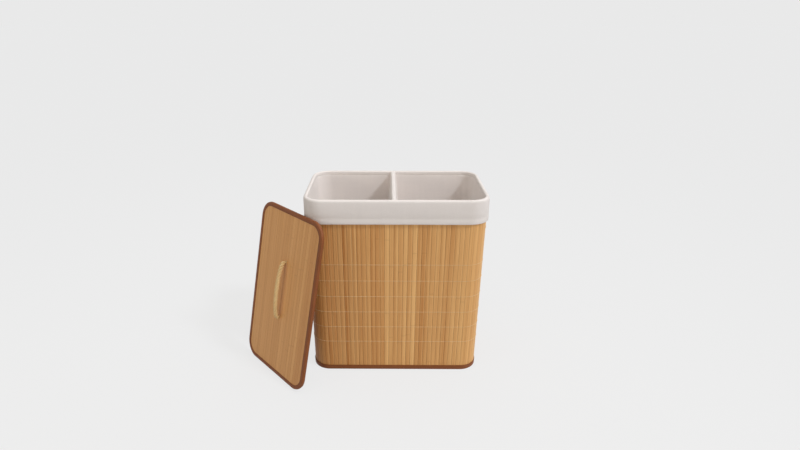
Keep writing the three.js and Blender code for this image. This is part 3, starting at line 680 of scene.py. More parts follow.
def draw_band(points, half, corner, step, corner_steps):
    """A band round a rounded rectangle, drawn from its section: straight runs are extruded, corners
    are spun."""
    form = bmesh.new()
    edges = draw_section(form, points)
    bmesh.ops.translate(form, vec=(0, -half[1], 0), verts=form.verts)
    straight = (half[0] - corner, half[1] - corner)
    centres = [(1, -1), (1, 1), (-1, 1), (-1, -1)]

    def run(edges, distance, turn):
        count = max(1, round(distance / step))
        move = Matrix.Rotation(turn * math.pi / 2, 3, "Z") @ Vector((distance / count, 0, 0))
        for _ in range(count):
            edges = push_edges(form, edges, move)
        return edges

    edges = run(edges, straight[0], 0)
    for turn, (x, y) in enumerate(centres):
        around = {vert for edge in edges for vert in edge.verts}
        spun = bmesh.ops.spin(
            form, geom=[*around, *edges], cent=(x * straight[0], y * straight[1], 0),
            axis=(0, 0, 1), angle=math.pi / 2, steps=corner_steps, use_merge=False,
        )["geom_last"]
        distance = 2 * straight[(turn + 1) % 2] if turn < 3 else straight[0]
        edges = run(edges_in(spun), distance, turn + 1)
    bmesh.ops.remove_doubles(form, verts=form.verts, dist=0.00001)
    bmesh.ops.recalc_face_normals(form, faces=form.faces)
    return form


def rounded_plate(sides, corner, low, high):
    """A plate with rounded corners; sides are left, right, front and back."""
    left, right, front, back = sides
    spots = ((left, front), (right, front), (right, back), (left, back))
    form = bmesh.new()
    verts = [form.verts.new((x, y, low)) for x, y in spots]
    form.faces.new(verts)
    round_off(form, verts, corner, 10)
    raised = bmesh.ops.extrude_face_region(form, geom=form.faces[:])["geom"]
    bmesh.ops.translate(form, vec=(0, 0, high - low), verts=verts_in(raised))
    bmesh.ops.recalc_face_normals(form, faces=form.faces)
    return form


def cloth_uv(form):
    """Lays a cloth's UV in metres, seen from the side that each face looks to."""
    layer = form.loops.layers.uv.verify()
    for face in form.faces:
        normal = face.normal
        for loop in face.loops:
            x, y, z = loop.vert.co
            if abs(normal.z) > 0.7:
                loop[layer].uv = (x, y)
            elif abs(normal.x) > abs(normal.y):
                loop[layer].uv = (y, z)
            else:
                loop[layer].uv = (x, z)


def carried_turns(path):
    """A place and turn for each point of a path, carried along it without twisting."""
    turns = []
    aim = Vector((0, 0, 1))
    spin = Quaternion()
    for index, point in enumerate(path):
        ahead = (path[min(index + 1, len(path) - 1)] - path[max(index - 1, 0)]).normalized()
        spin = aim.rotation_difference(ahead) @ spin
        aim = ahead
        turns.append(Matrix.Translation(point) @ spin.to_matrix().to_4x4())
    return turns


def draw_tube(form, path, radii, sides):
    """A tube along a path: a circle is extruded from point to point. The UV's x is metres along it,
    its y goes once round it."""
    layer = form.loops.layers.uv.verify()
    places = [turn @ Matrix.Scale(size, 4) for turn, size in zip(carried_turns(path), radii)]
    ring = bmesh.ops.create_circle(
        form, cap_ends=True, segments=sides, radius=1.0, matrix=places[0]
    )["verts"]
    along = 0.0
    for index in range(1, len(path)):
        edges = [e for v in ring for e in v.link_edges if e.other_vert(v) in ring]
        made = bmesh.ops.extrude_edge_only(form, edges=list(set(edges)))["geom"]
        fresh = set(verts_in(made))
        after = [next(e.other_vert(v) for e in v.link_edges if e.other_vert(v) in fresh) for v in ring]
        bmesh.ops.transform(form, matrix=places[index] @ places[index - 1].inverted(), verts=after)
        further = along + (path[index] - path[index - 1]).length
        spots = {v: (along, i / sides) for i, v in enumerate(ring)}
        spots.update({v: (further, i / sides) for i, v in enumerate(after)})
        for face in (g for g in made if isinstance(g, bmesh.types.BMFace)):
            shares = [spots[loop.vert][1] for loop in face.loops]
            wraps = max(shares) - min(shares) > 0.5
            for loop in face.loops:
                at, share = spots[loop.vert]
                loop[layer].uv = (at, share + 1 if wraps and share < 0.5 else share)
        ring, along = after, further
    edges = {e for v in ring for e in v.link_edges if e.other_vert(v) in ring}
    bmesh.ops.contextual_create(form, geom=list(edges))
    bmesh.ops.recalc_face_normals(form, faces=form.faces)


def draw_rope(form, path, radii, lay):
    """A laid rope: its strands wind round its path."""
    share = math.sin(math.pi / ROPE_STRANDS)
    thick = share / (1 + share)
    way = 0.0
    angles = [0.0]
    for first, second in zip(path, path[1:]):
        way += (second - first).length
        angles.append(2 * math.pi * way / lay)
    turns = carried_turns(path)
    for strand in range(ROPE_STRANDS):
        start = 2 * math.pi * strand / ROPE_STRANDS
        line = []
        for turn, size, angle in zip(turns, radii, angles):
            off = size * (1 - thick)
            line.append(turn @ Vector((off * math.cos(angle + start), off * math.sin(angle + start), 0)))
        draw_tube(form, line, [size * thick for size in radii], STRAND_SIDES)


def sew(form, places, stitch, radius):
    """Adds a stitch, a small pill that lies along x, at each place."""
    pill = bmesh.new()
    bmesh.ops.create_icosphere(pill, subdivisions=1, radius=1.0)
    bmesh.ops.scale(pill, vec=(stitch / 2, radius, radius), verts=pill.verts)
    add_copies(form, pill, places)


def ripple_at(x, y, z):
    """How far the cuff's cloth stands off at a place, from 0 to 1: little round the corners, most at
    the hem."""
    broad = noise.noise(Vector((x * 7.0, y * 7.0, z * 5.0))) * 0.5 + 0.5
    fine = noise.noise(Vector((x * 23.0 + 9.0, y * 23.0, z * 9.0))) * 0.5 + 0.5
    taut_x = max(0.0, abs(x) - (BASE_HALF[0] - CORNER)) / CORNER
    taut_y = max(0.0, abs(y) - (BASE_HALF[1] - CORNER)) / CORNER
    slack = 1 - 0.85 * min(1.0, 2.2 * min(taut_x, taut_y))
    down = min(1.0, max(0.0, (HEIGHT - z) / (HEIGHT - CUFF_LOW)))
    return slack * (0.25 + 0.75 * down) * (0.65 * broad + 0.35 * fine)


def stitches_round(half, corner, inset, height, stitch, leaning, ripple=0.0):
    """Places for a row of stitches round an outline, their x along it. On the cuff they follow its
    ripple."""
    way = round_length(half, corner)
    count = round(way / (stitch * STITCH_PITCH))
    places = []
    for index in range(count):
        at, out = point_round(way * index / count, inset, half, corner)
        if ripple:
            at = at + out * ripple * ripple_at(at.x, at.y, height)
        spot = lean_point(at.x, at.y, height) if leaning else Vector((at.x, at.y, height))
        along = Vector((-out.y, out.x, 0))
        turn = Matrix((along, (-out.x, -out.y, 0), (0, 0, 1))).transposed()
        places.append(Matrix.Translation(spot) @ turn.to_4x4())
    return places


def slat_bar(pitch, sizes):
    """One upright slat of the curtain, its outer face at y = 0 and its outer edges rounded."""
    width = pitch - sizes.slat_gap
    form = bmesh.new()
    bmesh.ops.create_cube(form, size=1.0)
    bmesh.ops.scale(form, vec=(width, SLAT_THICKNESS, SLAT_HIGH - SLAT_LOW), verts=form.verts)
    bmesh.ops.translate(form, vec=(0, SLAT_THICKNESS / 2, (SLAT_LOW + SLAT_HIGH) / 2), verts=form.verts)
    outer = [
        edge for edge in form.edges
        if all(vert.co.y < SLAT_THICKNESS / 2 for vert in edge.verts) and edge.calc_length() > 2 * width
    ]
    round_off(form, outer, sizes.slat_ease, 2, "EDGES")
    layer = form.loops.layers.uv.verify()
    for face in form.faces:
        for loop in face.loops:
            loop[layer].uv = (0.5 + loop.vert.co.x / pitch, loop.vert.co.z)
    return form


def add_slat(form, bar, number, place):
    """Adds a copy of a slat. Its number goes into the UV, so that each slat has its own tone."""
    shape = bpy.data.meshes.new("slat shape")
    bar.to_mesh(shape)
    shape.transform(place)
    for spot in shape.uv_layers.active.data:
        spot.uv.x += number
    form.from_mesh(shape)
    bpy.data.meshes.remove(shape)


def slat_count(turn, pitch):
    """How many slats fit on a straight wall."""
    straight = 2 * (TOP_HALF[turn % 2] - CORNER)
    return round(straight / pitch)


def add_stretch(name, bar, first, places):
    """A stretch of the curtain with a slat at each place. Gives the number after its last slat."""
    form = bmesh.new()
    for number, place in enumerate(places, first):
        add_slat(form, bar, number, place)
    bar.free()
    lean(form)
    finish_piece(
        f"{name}_curtain", form, "curtain bamboo", "hamper", [f"{name}_slats"], RIGID_FLATS
    )
    return first + len(places)


class HAMPER_OT_slats(bpy.types.Operator):
    """Model the curtain of bamboo slats"""

    bl_idname = "hamper.slats"
    bl_label = "Slats"

    def execute(self, context):
        sizes = context.scene.hamper_sizes
        chance = random.Random(11)
        step = math.pi / 2 / SLATS_PER_CORNER
        chord = 2 * CORNER * math.sin(step / 2)
        number = 0
        for turn, (wall, corner) in enumerate(zip(WALLS, CORNERS)):
            straight = BASE_HALF[turn % 2] - CORNER
            out = BASE_HALF[1 - turn % 2]
            spin = Matrix.Rotation(turn * math.pi / 2, 4, "Z")
            count = slat_count(turn, sizes.slat_pitch)
            pitch = 2 * straight / count
            places = []
            for index in range(count):
                proud = chance.uniform(*SLAT_PROUD)
                spot = Vector((pitch * (index + 0.5) - straight, proud - out, 0))
                places.append(spin @ Matrix.Translation(spot))
            number = add_stretch(wall, slat_bar(pitch, sizes), number, places)

            centre = Matrix.Translation(spin @ Vector((straight, CORNER - out, 0)))
            places = []
            for index in range(SLATS_PER_CORNER):
                proud = chance.uniform(*SLAT_PROUD)
                swing = Matrix.Rotation(turn * math.pi / 2 + step * (index + 0.5), 4, "Z")
                shift = Matrix.Translation((0, proud - CORNER * math.cos(step / 2), 0))
                places.append(centre @ swing @ shift)
            number = add_stretch(corner, slat_bar(chord, sizes), number, places)
        return {"FINISHED"}


def slat_joints(sizes):
    """Where one slat meets the next, as ways round the curtain from the middle of its front."""
    joints = []
    way = -(BASE_HALF[0] - CORNER)
    for turn in range(4):
        straight = 2 * (BASE_HALF[turn % 2] - CORNER)
        quarter = CORNER * math.pi / 2
        for reach, count in ((straight, slat_count(turn, sizes.slat_pitch)), (quarter, SLATS_PER_CORNER)):
            joints += [way + reach * i / count for i in range(count)]
            way += reach
    return [*joints, way]


class HAMPER_OT_threads(bpy.types.Operator):
    """Weave the thread rows across the slats"""

    bl_idname = "hamper.threads"
    bl_label = "Thread rows"

    def execute(self, context):
        sizes = context.scene.hamper_sizes
        over = -(0.00028 + sizes.thread * 0.4)
        dip, dip_width = 0.0004, 0.0012
        joints = slat_joints(sizes)
        path = []
        for first, second in zip(joints, joints[1:]):
            for spot, inset in ((first, dip), (first + dip_width, over), (second - dip_width, over)):
                at, _ = point_round(spot, inset, BASE_HALF, CORNER)
                path.append(Vector((at.x, at.y, 0)))
        path.append(path[0].copy())
        row = bmesh.new()
        draw_tube(row, path, [sizes.thread] * len(path), 6)
        heights = [sizes.first_row + sizes.row_pitch * index for index in range(sizes.rows)]
        form = bmesh.new()
        add_copies(form, row, [Matrix.Translation((0, 0, height)) for height in heights])
        lean(form)
        finish_piece("curtain_threads", form, "slat thread", "hamper")
        return {"FINISHED"}


class HAMPER_OT_backing(bpy.types.Operator):
    """Glue the cloths behind the slats and under the base"""

    bl_idname = "hamper.backing"
    bl_label = "Backing cloths"

    def execute(self, context):
        outer, inner = BACKING_INSETS
        points = [(outer, SLAT_LOW, 0), (outer, SLAT_HIGH, 0), (inner, SLAT_HIGH, 0), (inner, SLAT_LOW, 0)]
        form = draw_band(points, BASE_HALF, CORNER, 0.1, SLATS_PER_CORNER)
        lean(form)
        cloth_uv(form)
        finish_piece(
            "curtain_backing", form, "backing cloth", "hamper", ["backing_cloth"], RIGID_FLATS
        )
        low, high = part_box("base_cloth")
        form = rounded_plate((low.x, high.x, low.y, high.y), CORNER - BASE_CLOTH_INSET, low.z, high.z)
        cloth_uv(form)
        finish_piece(
            "base_underside", form, "lining cloth", "hamper", ["base_cloth"], RIGID_FLATS
        )
        return {"FINISHED"}


class HAMPER_OT_bindings(bpy.types.Operator):
    """Bind the base and the rim in leatherette"""

    bl_idname = "hamper.bindings"
    bl_label = "Bindings"

    def execute(self, context):
        sizes = context.scene.hamper_sizes
        base = [
            (BASE_SOLE_INSET, 0.001, 0), (BASE_SOLE_INSET, 0.0, 0), (-0.0016, 0.0, 0.0012),
            (-0.0018, BASE_TRIM_HIGH, 0.0006), (-0.0004, BASE_TRIM_HIGH, 0.0003), (-0.0003, 0.001, 0),
        ]
        rim = [
            (-0.0012, RIM_LOW, 0), (-0.0012, RIM_HIGH, 0.004), (0.0066, RIM_HIGH, 0.001),
            (0.0066, RIM_LOW, 0), (0.0057, RIM_LOW, 0), (0.0057, RIM_HIGH - RIM_SKIN, 0),
            (-0.0003, RIM_HIGH - RIM_SKIN, 0.0034), (-0.0003, RIM_LOW, 0),
        ]
        for name, points in (("base", base), ("rim", rim)):
            form = draw_band(points, BASE_HALF, CORNER, BINDING_RUN, BINDING_TURNS)
            lean(form)
            finish_piece(
                f"{name}_trim", form, "leatherette", "hamper", [f"{name}_binding"],
                BINDING_FLATS,
            )
        form = bmesh.new()
        for height, inset in ((BASE_TRIM_HIGH - 0.003, -0.0019), (RIM_LOW + 0.003, -0.0012)):
            places = stitches_round(BASE_HALF, CORNER, inset, height, sizes.stitch, True)
            sew(form, places, sizes.stitch, BINDING_THREAD)
        finish_piece("binding_stitches", form, "binding thread", "hamper")
        return {"FINISHED"}


def cuff_section(hem_high):
    """The cuff's section: up inside the skirt, round the hem, up the outside, over the fold and down
    to the bags, then back along the inside."""
    skirt = -0.0035
    inner = CUFF_INNER + CLOTH
    low = BAG_TOP - 0.002
    under = HEIGHT - CLOTH
    return [
        (skirt, 0.600, 0), (skirt, hem_high + 0.0012, 0), (-0.0027, hem_high - 0.0004, 0),
        (-0.0027, CUFF_LOW, 0.0008), (-0.0057, CUFF_LOW, 0.0013), (-0.0062, CUFF_LOW + 0.005, 0),
        (-0.0060, hem_high - 0.006, 0), (-0.0047, hem_high, 0), (-0.0053, hem_high + 0.003, 0),
        (-0.0052, 0.592, 0), (-0.0050, 0.606, 0), (CUFF_OUTER + 0.0004, HEIGHT, 0.008),
        (inner + 0.0001, HEIGHT, 0.005), (inner - 0.0001, low, 0.0004), (inner - 0.0013, low, 0.0005),
        (inner - 0.0013, under, 0.003), (skirt, under, 0.0066),
    ]


class HAMPER_OT_cuff(bpy.types.Operator):
    """Fold the liner's cuff over the rim and sew its hem"""

    bl_idname = "hamper.cuff"
    bl_label = "Cuff"

    def execute(self, context):
        sizes = context.scene.hamper_sizes
        hem_high = CUFF_LOW + sizes.hem
        form = draw_band(cuff_section(hem_high), BASE_HALF, CORNER, 0.012, 10)
        straight = [half - CORNER for half in BASE_HALF]
        for vert in form.verts:
            x, y, z = vert.co
            nearest = [max(-reach, min(reach, value)) for reach, value in zip(straight, (x, y))]
            out = Vector((x - nearest[0], y - nearest[1], 0))
            if z > HEIGHT - CUFF_STILL or out.length < CORNER + 0.001:
                continue
            vert.co += out.normalized() * sizes.ripple * ripple_at(x, y, z)
            edge = max(0.0, 1 - (z - CUFF_LOW) / sizes.hem)
            vert.co.z += CUFF_WAVE * edge * noise.noise(Vector((x * 11.0, y * 11.0, 3.0)))
        lean(form)
        cloth_uv(form)
        finish_piece("cuff", form, "liner cloth", "liner", ["liner_cuff"], CLOTH_FLATS)

        form = bmesh.new()
        places = stitches_round(
            BASE_HALF, CORNER, CUFF_OUTER, hem_high - 0.0002, sizes.stitch, True, sizes.ripple
        )
        sew(form, places, sizes.stitch, LINER_THREAD)
        finish_piece("cuff_stitches", form, "liner thread", "liner")
        return {"FINISHED"}


class HAMPER_OT_tapes(bpy.types.Operator):
    """Sew the fastening tapes between the rim and the cuff"""

    bl_idname = "hamper.tapes"
    bl_label = "Fastening tapes"

    def execute(self, context):
        half = 0.00065
        upright = Matrix.Rotation(-math.pi / 2, 3, "X")
        for kind, body in (("hook", "hamper"), ("loop", "liner")):
            for wall, side in (("front", -1), ("back", 1)):
                low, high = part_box(f"{wall}_{kind}_tape")
                form = rounded_plate((low.x, high.x, -high.z, -low.z), 0.002, -half, half)
                bmesh.ops.rotate(form, cent=(0, 0, 0), matrix=upright, verts=form.verts)
                lowest = min(vert.co.z for vert in form.verts)
                span = max(vert.co.z for vert in form.verts) - lowest
                rest = min(abs(low.y), abs(high.y)) + half
                for vert in form.verts:
                    share = (vert.co.z - lowest) / span
                    vert.co.y += side * (rest + share * 0.00015)
                finish_piece(
                    f"{wall}_{kind}_strip", form, f"{kind} tape", body, [f"{wall}_{kind}_tape"],
                    RIGID_FLATS,
                )
        return {"FINISHED"}


def draw_ring(form, sides, corners, z, cuts):
    """A rounded ring of edges; sides are left, right, front and back, corners the radii at the left
    and the right. Its straight runs are cut into lengths."""
    left, right, front, back = sides
    spots = ((left, front), (right, front), (right, back), (left, back))
    verts = [form.verts.new((x, y, z)) for x, y in spots]
    for first, second in zip(verts, verts[1:] + verts[:1]):
        form.edges.new((first, second))
    for vert, side in zip(verts, (0, 1, 1, 0)):
        round_off(form, [vert], corners[side], 6)
    for run in sorted(form.edges, key=lambda edge: edge.calc_length())[-4:]:
        level = abs(run.verts[0].co.y - run.verts[1].co.y) < 0.001
        bmesh.ops.subdivide_edges(form, edges=[run], cuts=cuts[0] if level else cuts[1])
    return list(form.edges)


def refit(value, old, new):
    """Moves a value from one pair of rounded ends to another: each is low, high, and their radii."""
    low, high, low_round, high_round = old
    new_low, new_high, new_low_round, new_high_round = new
    if value <= low + low_round:
        return new_low + (value - low) / low_round * new_low_round
    if value >= high - high_round:
        return new_high - (high - value) / high_round * new_high_round
    share = (value - low - low_round) / (high - low - low_round - high_round)
    reach = new_high - new_low - new_low_round - new_high_round
    return new_low + new_low_round + share * reach


def bag_outline(name, z):
    """A bag's outline at a height: its sides and the radii of its corners at the left and the right."""
    share = (BAG_TOP - z) / (BAG_TOP - BAG_LOW)
    inset = BAG_INSET + BAG_TAPER * share + 0.005 * min(1.0, 4 * share)
    half = [
        BASE_HALF[axis] + (TOP_HALF[axis] - BASE_HALF[axis]) * z / HEIGHT - inset for axis in (0, 1)
    ]
    below = max(0.0, (BAG_HIGH - z) / (BAG_HIGH - BAG_LOW))
    parting = BAG_PARTING * min(1.0, below * 6) ** 0.5 * (0.35 + 0.65 * below)
    seam = DIVIDER_HALF - 0.0008 + parting
    outer = CORNER - BAG_INSET - 0.010 * share
    inner = 0.008 + 0.016 * share
    if name == "left":
        return (-half[0], DIVIDER_X - seam, -half[1], half[1]), (outer, inner)
    return (DIVIDER_X + seam, half[0], -half[1], half[1]), (inner, outer)


def bag_levels():
    """The rings of a bag below its top: heights, and how far each is drawn in from the outline. The
    wall comes first, then its rounded foot, then the floor."""
    levels = [
        (BAG_TOP + (BAG_LOW + BAG_FOOT - BAG_TOP) * i / BAG_LEVELS, 0.0) for i in range(1, BAG_LEVELS + 1)
    ]
    for degrees in (30, 60, 90):
        angle = math.radians(degrees)
        levels.append((BAG_LOW + BAG_FOOT * (1 - math.sin(angle)), BAG_FOOT * (1 - math.cos(angle))))
    return levels + [(BAG_LOW, BAG_FOOT + reach) for reach in BAG_FLOOR_RINGS]


def draw_bag(name):
    """A bag, drawn from its top ring down to its floor."""
    form = bmesh.new()
    sides, corners = bag_outline(name, BAG_TOP)
    edges = draw_ring(form, sides, corners, BAG_TOP, BAG_CUTS)
    for z, shrink in bag_levels():
        edges = push_edges(form, edges, (0, 0, z - edges[0].verts[0].co.z))
        (left, right, front, back), radii = bag_outline(name, z)
        new_sides = (left + shrink, right - shrink, front + shrink, back - shrink)
        new_corners = tuple(max(0.002, radius - shrink) for radius in radii)
        for vert in {v for e in edges for v in e.verts}:
            x, y, _ = vert.co
            side = 0 if x < (sides[0] + sides[1]) / 2 else 1
            old_y = (*sides[2:], corners[side], corners[side])
            new_y = (*new_sides[2:], new_corners[side], new_corners[side])
            vert.co.x = refit(x, (*sides[:2], *corners), (*new_sides[:2], *new_corners))
            vert.co.y = refit(y, old_y, new_y)
        sides, corners = new_sides, new_corners
    bmesh.ops.contextual_create(form, geom=edges)
    bmesh.ops.recalc_face_normals(form, faces=form.faces)
    if form.calc_volume(signed=True) < 0:
        bmesh.ops.reverse_faces(form, faces=form.faces)
    form.normal_update()
    return form


def sag(form, middle, fold, seed):
    """Folds and creases a hanging bag: least at its top and its foot."""
    for vert in form.verts:
        x, y, z = vert.co
        out = Vector((vert.normal.x, vert.normal.y, 0))
        if out.length < 0.3:
            vert.co.z += 0.001 * (noise.noise(Vector((x * 14, y * 14, seed))) + 1)
            continue
        free = min(1.0, max(0.0, (BAG_HIGH - 0.03 - z) / 0.2))
        foot = min(1.0, max(0.0, (z - BAG_LOW) / 0.06))
        around = math.atan2(y, x - middle)
        long_folds = noise.noise(Vector((around * 4.2, z * 2.2, seed)))
        creases = noise.noise(Vector((around * 11.0 + z * 9.0, z * 6.0, seed + 4.0)))
        move = fold * (0.75 * long_folds + 0.3 * creases - 0.4)
        vert.co += out.normalized() * move * free * (0.35 + 0.65 * foot)


class HAMPER_OT_bags(bpy.types.Operator):
    """Hang the two bags, each one shell that sags"""

    bl_idname = "hamper.bags"
    bl_label = "Bags"

    def execute(self, context):
        sizes = context.scene.hamper_sizes
        for name, seed in (("left", 3.0), ("right", 8.0)):
            form = draw_bag(name)
            sides, _ = bag_outline(name, BAG_LOW)
            sag(form, (sides[0] + sides[1]) / 2, sizes.fold, seed)
            cloth_uv(form)
            piece = finish_piece(
                f"{name}_bag", form, "liner cloth", "liner",
                [f"{name}_bag_wall", f"{name}_bag_floor"],
            )
            thick = piece.modifiers.new("Cloth thickness", "SOLIDIFY")
            thick.thickness = CLOTH
            thick.offset = -1.0
            soft = piece.modifiers.new("Soft folds", "SUBSURF")
            soft.levels = 1
            soft.render_levels = 1
        return {"FINISHED"}


def draw_divider(low, high):
    """The divider's hem: a long fold of cloth, wider where its ends are sewn to the bags."""
    half = DIVIDER_HALF
    inner = half - CLOTH
    fold = DIVIDER_FOLD
    inner_fold = 0.0044
    points = [
        (inner, low.z, 0), (half, low.z, 0.0004), (half, high.z, fold), (-half, high.z, fold),
        (-half, low.z, 0.0004), (-inner, low.z, 0), (-inner, high.z - CLOTH, inner_fold),
        (inner, high.z - CLOTH, inner_fold),
    ]
    form = bmesh.new()
    edges = draw_section(form, points)
    quarter = Matrix.Rotation(math.pi / 2, 3, "Z")
    bmesh.ops.rotate(form, cent=(0, 0, 0), matrix=quarter, verts=form.verts)
    bmesh.ops.translate(form, vec=(DIVIDER_X, low.y, 0), verts=form.verts)
    step = (high.y - low.y) / DIVIDER_STEPS
    bmesh.ops.contextual_create(form, geom=edges)
    for _ in range(DIVIDER_STEPS):
        edges = push_edges(form, edges, (0, step, 0))
    bmesh.ops.contextual_create(form, geom=edges)
    for vert in form.verts:
        x, y, z = vert.co
        end = max(0.0, 1 - min(y - low.y, high.y - y) / DIVIDER_FLARE_LENGTH)
        wide = 1 + DIVIDER_FLARE * end * end + 0.05 * noise.noise(Vector((y * 17.0, z * 10.0, x * 4.0)))
        vert.co.x = DIVIDER_X + (x - DIVIDER_X) * wide
        vert.co.z += 0.0005 * noise.noise(Vector((y * 12.0, 4.0, 1.0)))
    bmesh.ops.recalc_face_normals(form, faces=form.faces)
    return form


class HAMPER_OT_divider(bpy.types.Operator):
    """Sew the divider that parts the two bags"""

    bl_idname = "hamper.divider"
    bl_label = "Divider"

    def execute(self, context):
        sizes = context.scene.hamper_sizes
        low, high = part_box("divider_hem")
        form = draw_divider(low, high)
        cloth_uv(form)
        finish_piece("divider", form, "liner cloth", "liner", ["divider_hem"], CLOTH_FLATS)

        quarter = Matrix.Rotation(math.pi / 2, 4, "Z")
        count = round((high.y - low.y) / (sizes.stitch * STITCH_PITCH))
        places = []
        for side in (-1, 1):
            x = DIVIDER_X + side * (DIVIDER_HALF + 0.0002)
            for index in range(2, count - 2):
                y = low.y + (high.y - low.y) * (index + 0.5) / count
                places.append(Matrix.Translation((x, y, low.z + DIVIDER_SEAM_DROP)) @ quarter)
        form = bmesh.new()
        sew(form, places, sizes.stitch, LINER_THREAD)
        finish_piece("divider_stitches", form, "liner thread", "liner")
        dress(["divider_rod"], "drawn steel")
        return {"FINISHED"}


def arch_path(first, second, rise, radius):
    """A rope's arch from one hole to another, with the sizes that round off its ends."""
    middle = (first + second) / 2
    half = (second - first) / 2
    inward = -rise.normalized()
    end = ((0.97, 0.2), (0.84, 0.55), (0.55, 0.84), (0.28, 0.96))
    path = [first + inward * radius * drop for drop, _ in end]
    for index in range(ARCH_STEPS + 1):
        angle = math.pi * index / ARCH_STEPS
        path.append(middle - half * math.cos(angle) + rise * math.sin(angle))
    path += [second + inward * radius * drop for drop, _ in reversed(end)]
    closing = [radius * size for _, size in end]
    return path, closing + [radius] * (ARCH_STEPS + 1) + closing[::-1]


def draw_fixed_end(form, face, inward, radius, knot_start, lay):
    """A rope's fixed end: a short length through its hole, cut just proud of the face, and a knot
    behind it."""
    count = 6
    start = -0.4 * radius
    path = [face + inward * (start + (knot_start - start) * i / count) for i in range(count + 1)]
    draw_rope(form, path, [radius] * len(path), lay)
    cut = bmesh.ops.bisect_plane(
        form, geom=[*form.verts, *form.edges, *form.faces], dist=0.000001,
        plane_co=face - inward * ROPE_PROUD, plane_no=-inward, clear_outer=True,
    )["geom_cut"]
    bmesh.ops.holes_fill(form, edges=edges_in(cut), sides=0)
    bmesh.ops.recalc_face_normals(form, faces=form.faces)
    turn = Vector((0, 0, 1)).rotation_difference(inward).to_matrix().to_4x4()
    centre = Matrix.Translation(face + inward * (knot_start + KNOT_DEPTH)) @ turn
    reach = radius * KNOT_REACH
    knot = []
    for index in range(KNOT_STEPS + 1):
        angle = 2 * math.pi * index / KNOT_STEPS
        knot.append(centre @ Vector((
            reach * (math.sin(angle) + 2 * math.sin(2 * angle)),
            reach * (math.cos(angle) - 2 * math.cos(2 * angle)),
            -KNOT_WAVE * math.sin(3 * angle),
        )))
    draw_rope(form, knot, [KNOT_ROPE] * len(knot), KNOT_LAY)


class HAMPER_OT_side_handles(bpy.types.Operator):
    """Tie the rope loops at both ends"""

    bl_idname = "hamper.side_handles"
    bl_label = "Side handles"

    def execute(self, context):
        lay = context.scene.hamper_sizes.rope_lay * 2 * SIDE_ROPE
        face_x = lean_point(BASE_HALF[0], 0, SIDE_HOLE_HEIGHT).x
        pivot = face_x + ROPE_STUB + SIDE_ROPE
        for name, side in (("left", -1), ("right", 1)):
            inward = Vector((-side, 0, 0))
            ends = [Vector((side * pivot, y, SIDE_HOLE_HEIGHT)) for y in (-SIDE_HOLE, SIDE_HOLE)]
            fall = Vector((side * math.sin(SIDE_LEAN), 0, -math.cos(SIDE_LEAN))) * SIDE_DROP
            form = bmesh.new()
            path, radii = arch_path(ends[0], ends[1], fall, SIDE_ROPE)
            draw_rope(form, path, radii, lay)
            finish_piece(
                f"{name}_loop", form, "jute rope", f"{name}_handle", [f"{name}_handle_rope"]
            )
            for end, y in (("front", -SIDE_HOLE), ("rear", SIDE_HOLE)):
                form = bmesh.new()
                face = Vector((side * face_x, y, SIDE_HOLE_HEIGHT))
                draw_fixed_end(form, face, inward, SIDE_ROPE, SIDE_KNOT_START, lay)
                node = f"{name}_handle_{end}_knot"
                finish_piece(f"{name}_{end}_rope_end", form, "jute rope", "hamper", [node])
                dress([f"{name}_handle_{end}_washer"], "moulded plastic")
        return {"FINISHED"}


def stand(form):
    """Stands a form that is drawn lying flat where the lid leans."""
    out = Vector((-math.cos(LID_TURN), -math.sin(LID_TURN), 0))
    edge = Vector((math.sin(LID_TURN), -math.cos(LID_TURN), 0))
    up = Vector((0, 0, math.cos(LID_TILT))) - out * math.sin(LID_TILT)
    normal = Vector((0, 0, math.sin(LID_TILT))) + out * math.cos(LID_TILT)
    turn = Matrix((edge, up, normal)).transposed().to_4x4()
    bmesh.ops.transform(form, matrix=Matrix.Translation(LID_FOOT) @ turn, verts=form.verts)


def lid_slat(middle, pitch, sides, face):
    """One slat of the lid: a slice of a rounded plate, with its long edges rounded."""
    form = rounded_plate(sides, LID_CORNER - LID_INSET, LID_BACK, face)
    for side in (-1, 1):
        cut = bmesh.ops.bisect_plane(
            form, geom=[*form.verts, *form.edges, *form.faces], dist=0.000001,
            plane_co=(middle + side * (pitch - LID_SLAT_GAP) / 2, 0, 0),
            plane_no=(side, 0, 0), clear_outer=True,
        )["geom_cut"]
        if cut:
            bmesh.ops.contextual_create(form, geom=edges_in(cut))
    form.normal_update()
    long_edges = [
        edge for edge in form.edges
        if min(vert.co.z for vert in edge.verts) > (LID_BACK + LID_FACE) / 2 and edge.calc_length() > 0.2
    ]
    round_off(form, long_edges, LID_SLAT_EASE, 1, "EDGES")
    bmesh.ops.recalc_face_normals(form, faces=form.faces)
    layer = form.loops.layers.uv.verify()
    for plane in form.faces:
        for loop in plane.loops:
            loop[layer].uv = (0.5 + (loop.vert.co.x - middle) / pitch, loop.vert.co.y)
    return form


def add_lid_slats(sizes, half, sides):
    """The lid's slats, which lie side by side across it."""
    chance = random.Random(5)
    count = round(2 * half / sizes.slat_pitch)
    pitch = 2 * half / count
    form = bmesh.new()
    for index in range(count):
        middle = pitch * (index + 0.5) - half
        slat = lid_slat(middle, pitch, sides, LID_FACE - chance.uniform(0.0, 0.00012))
        add_slat(form, slat, index, Matrix())
        slat.free()
    stand(form)
    finish_piece("lid_slat_face", form, "lid bamboo", "lid", ["lid_slats"], RIGID_FLATS)


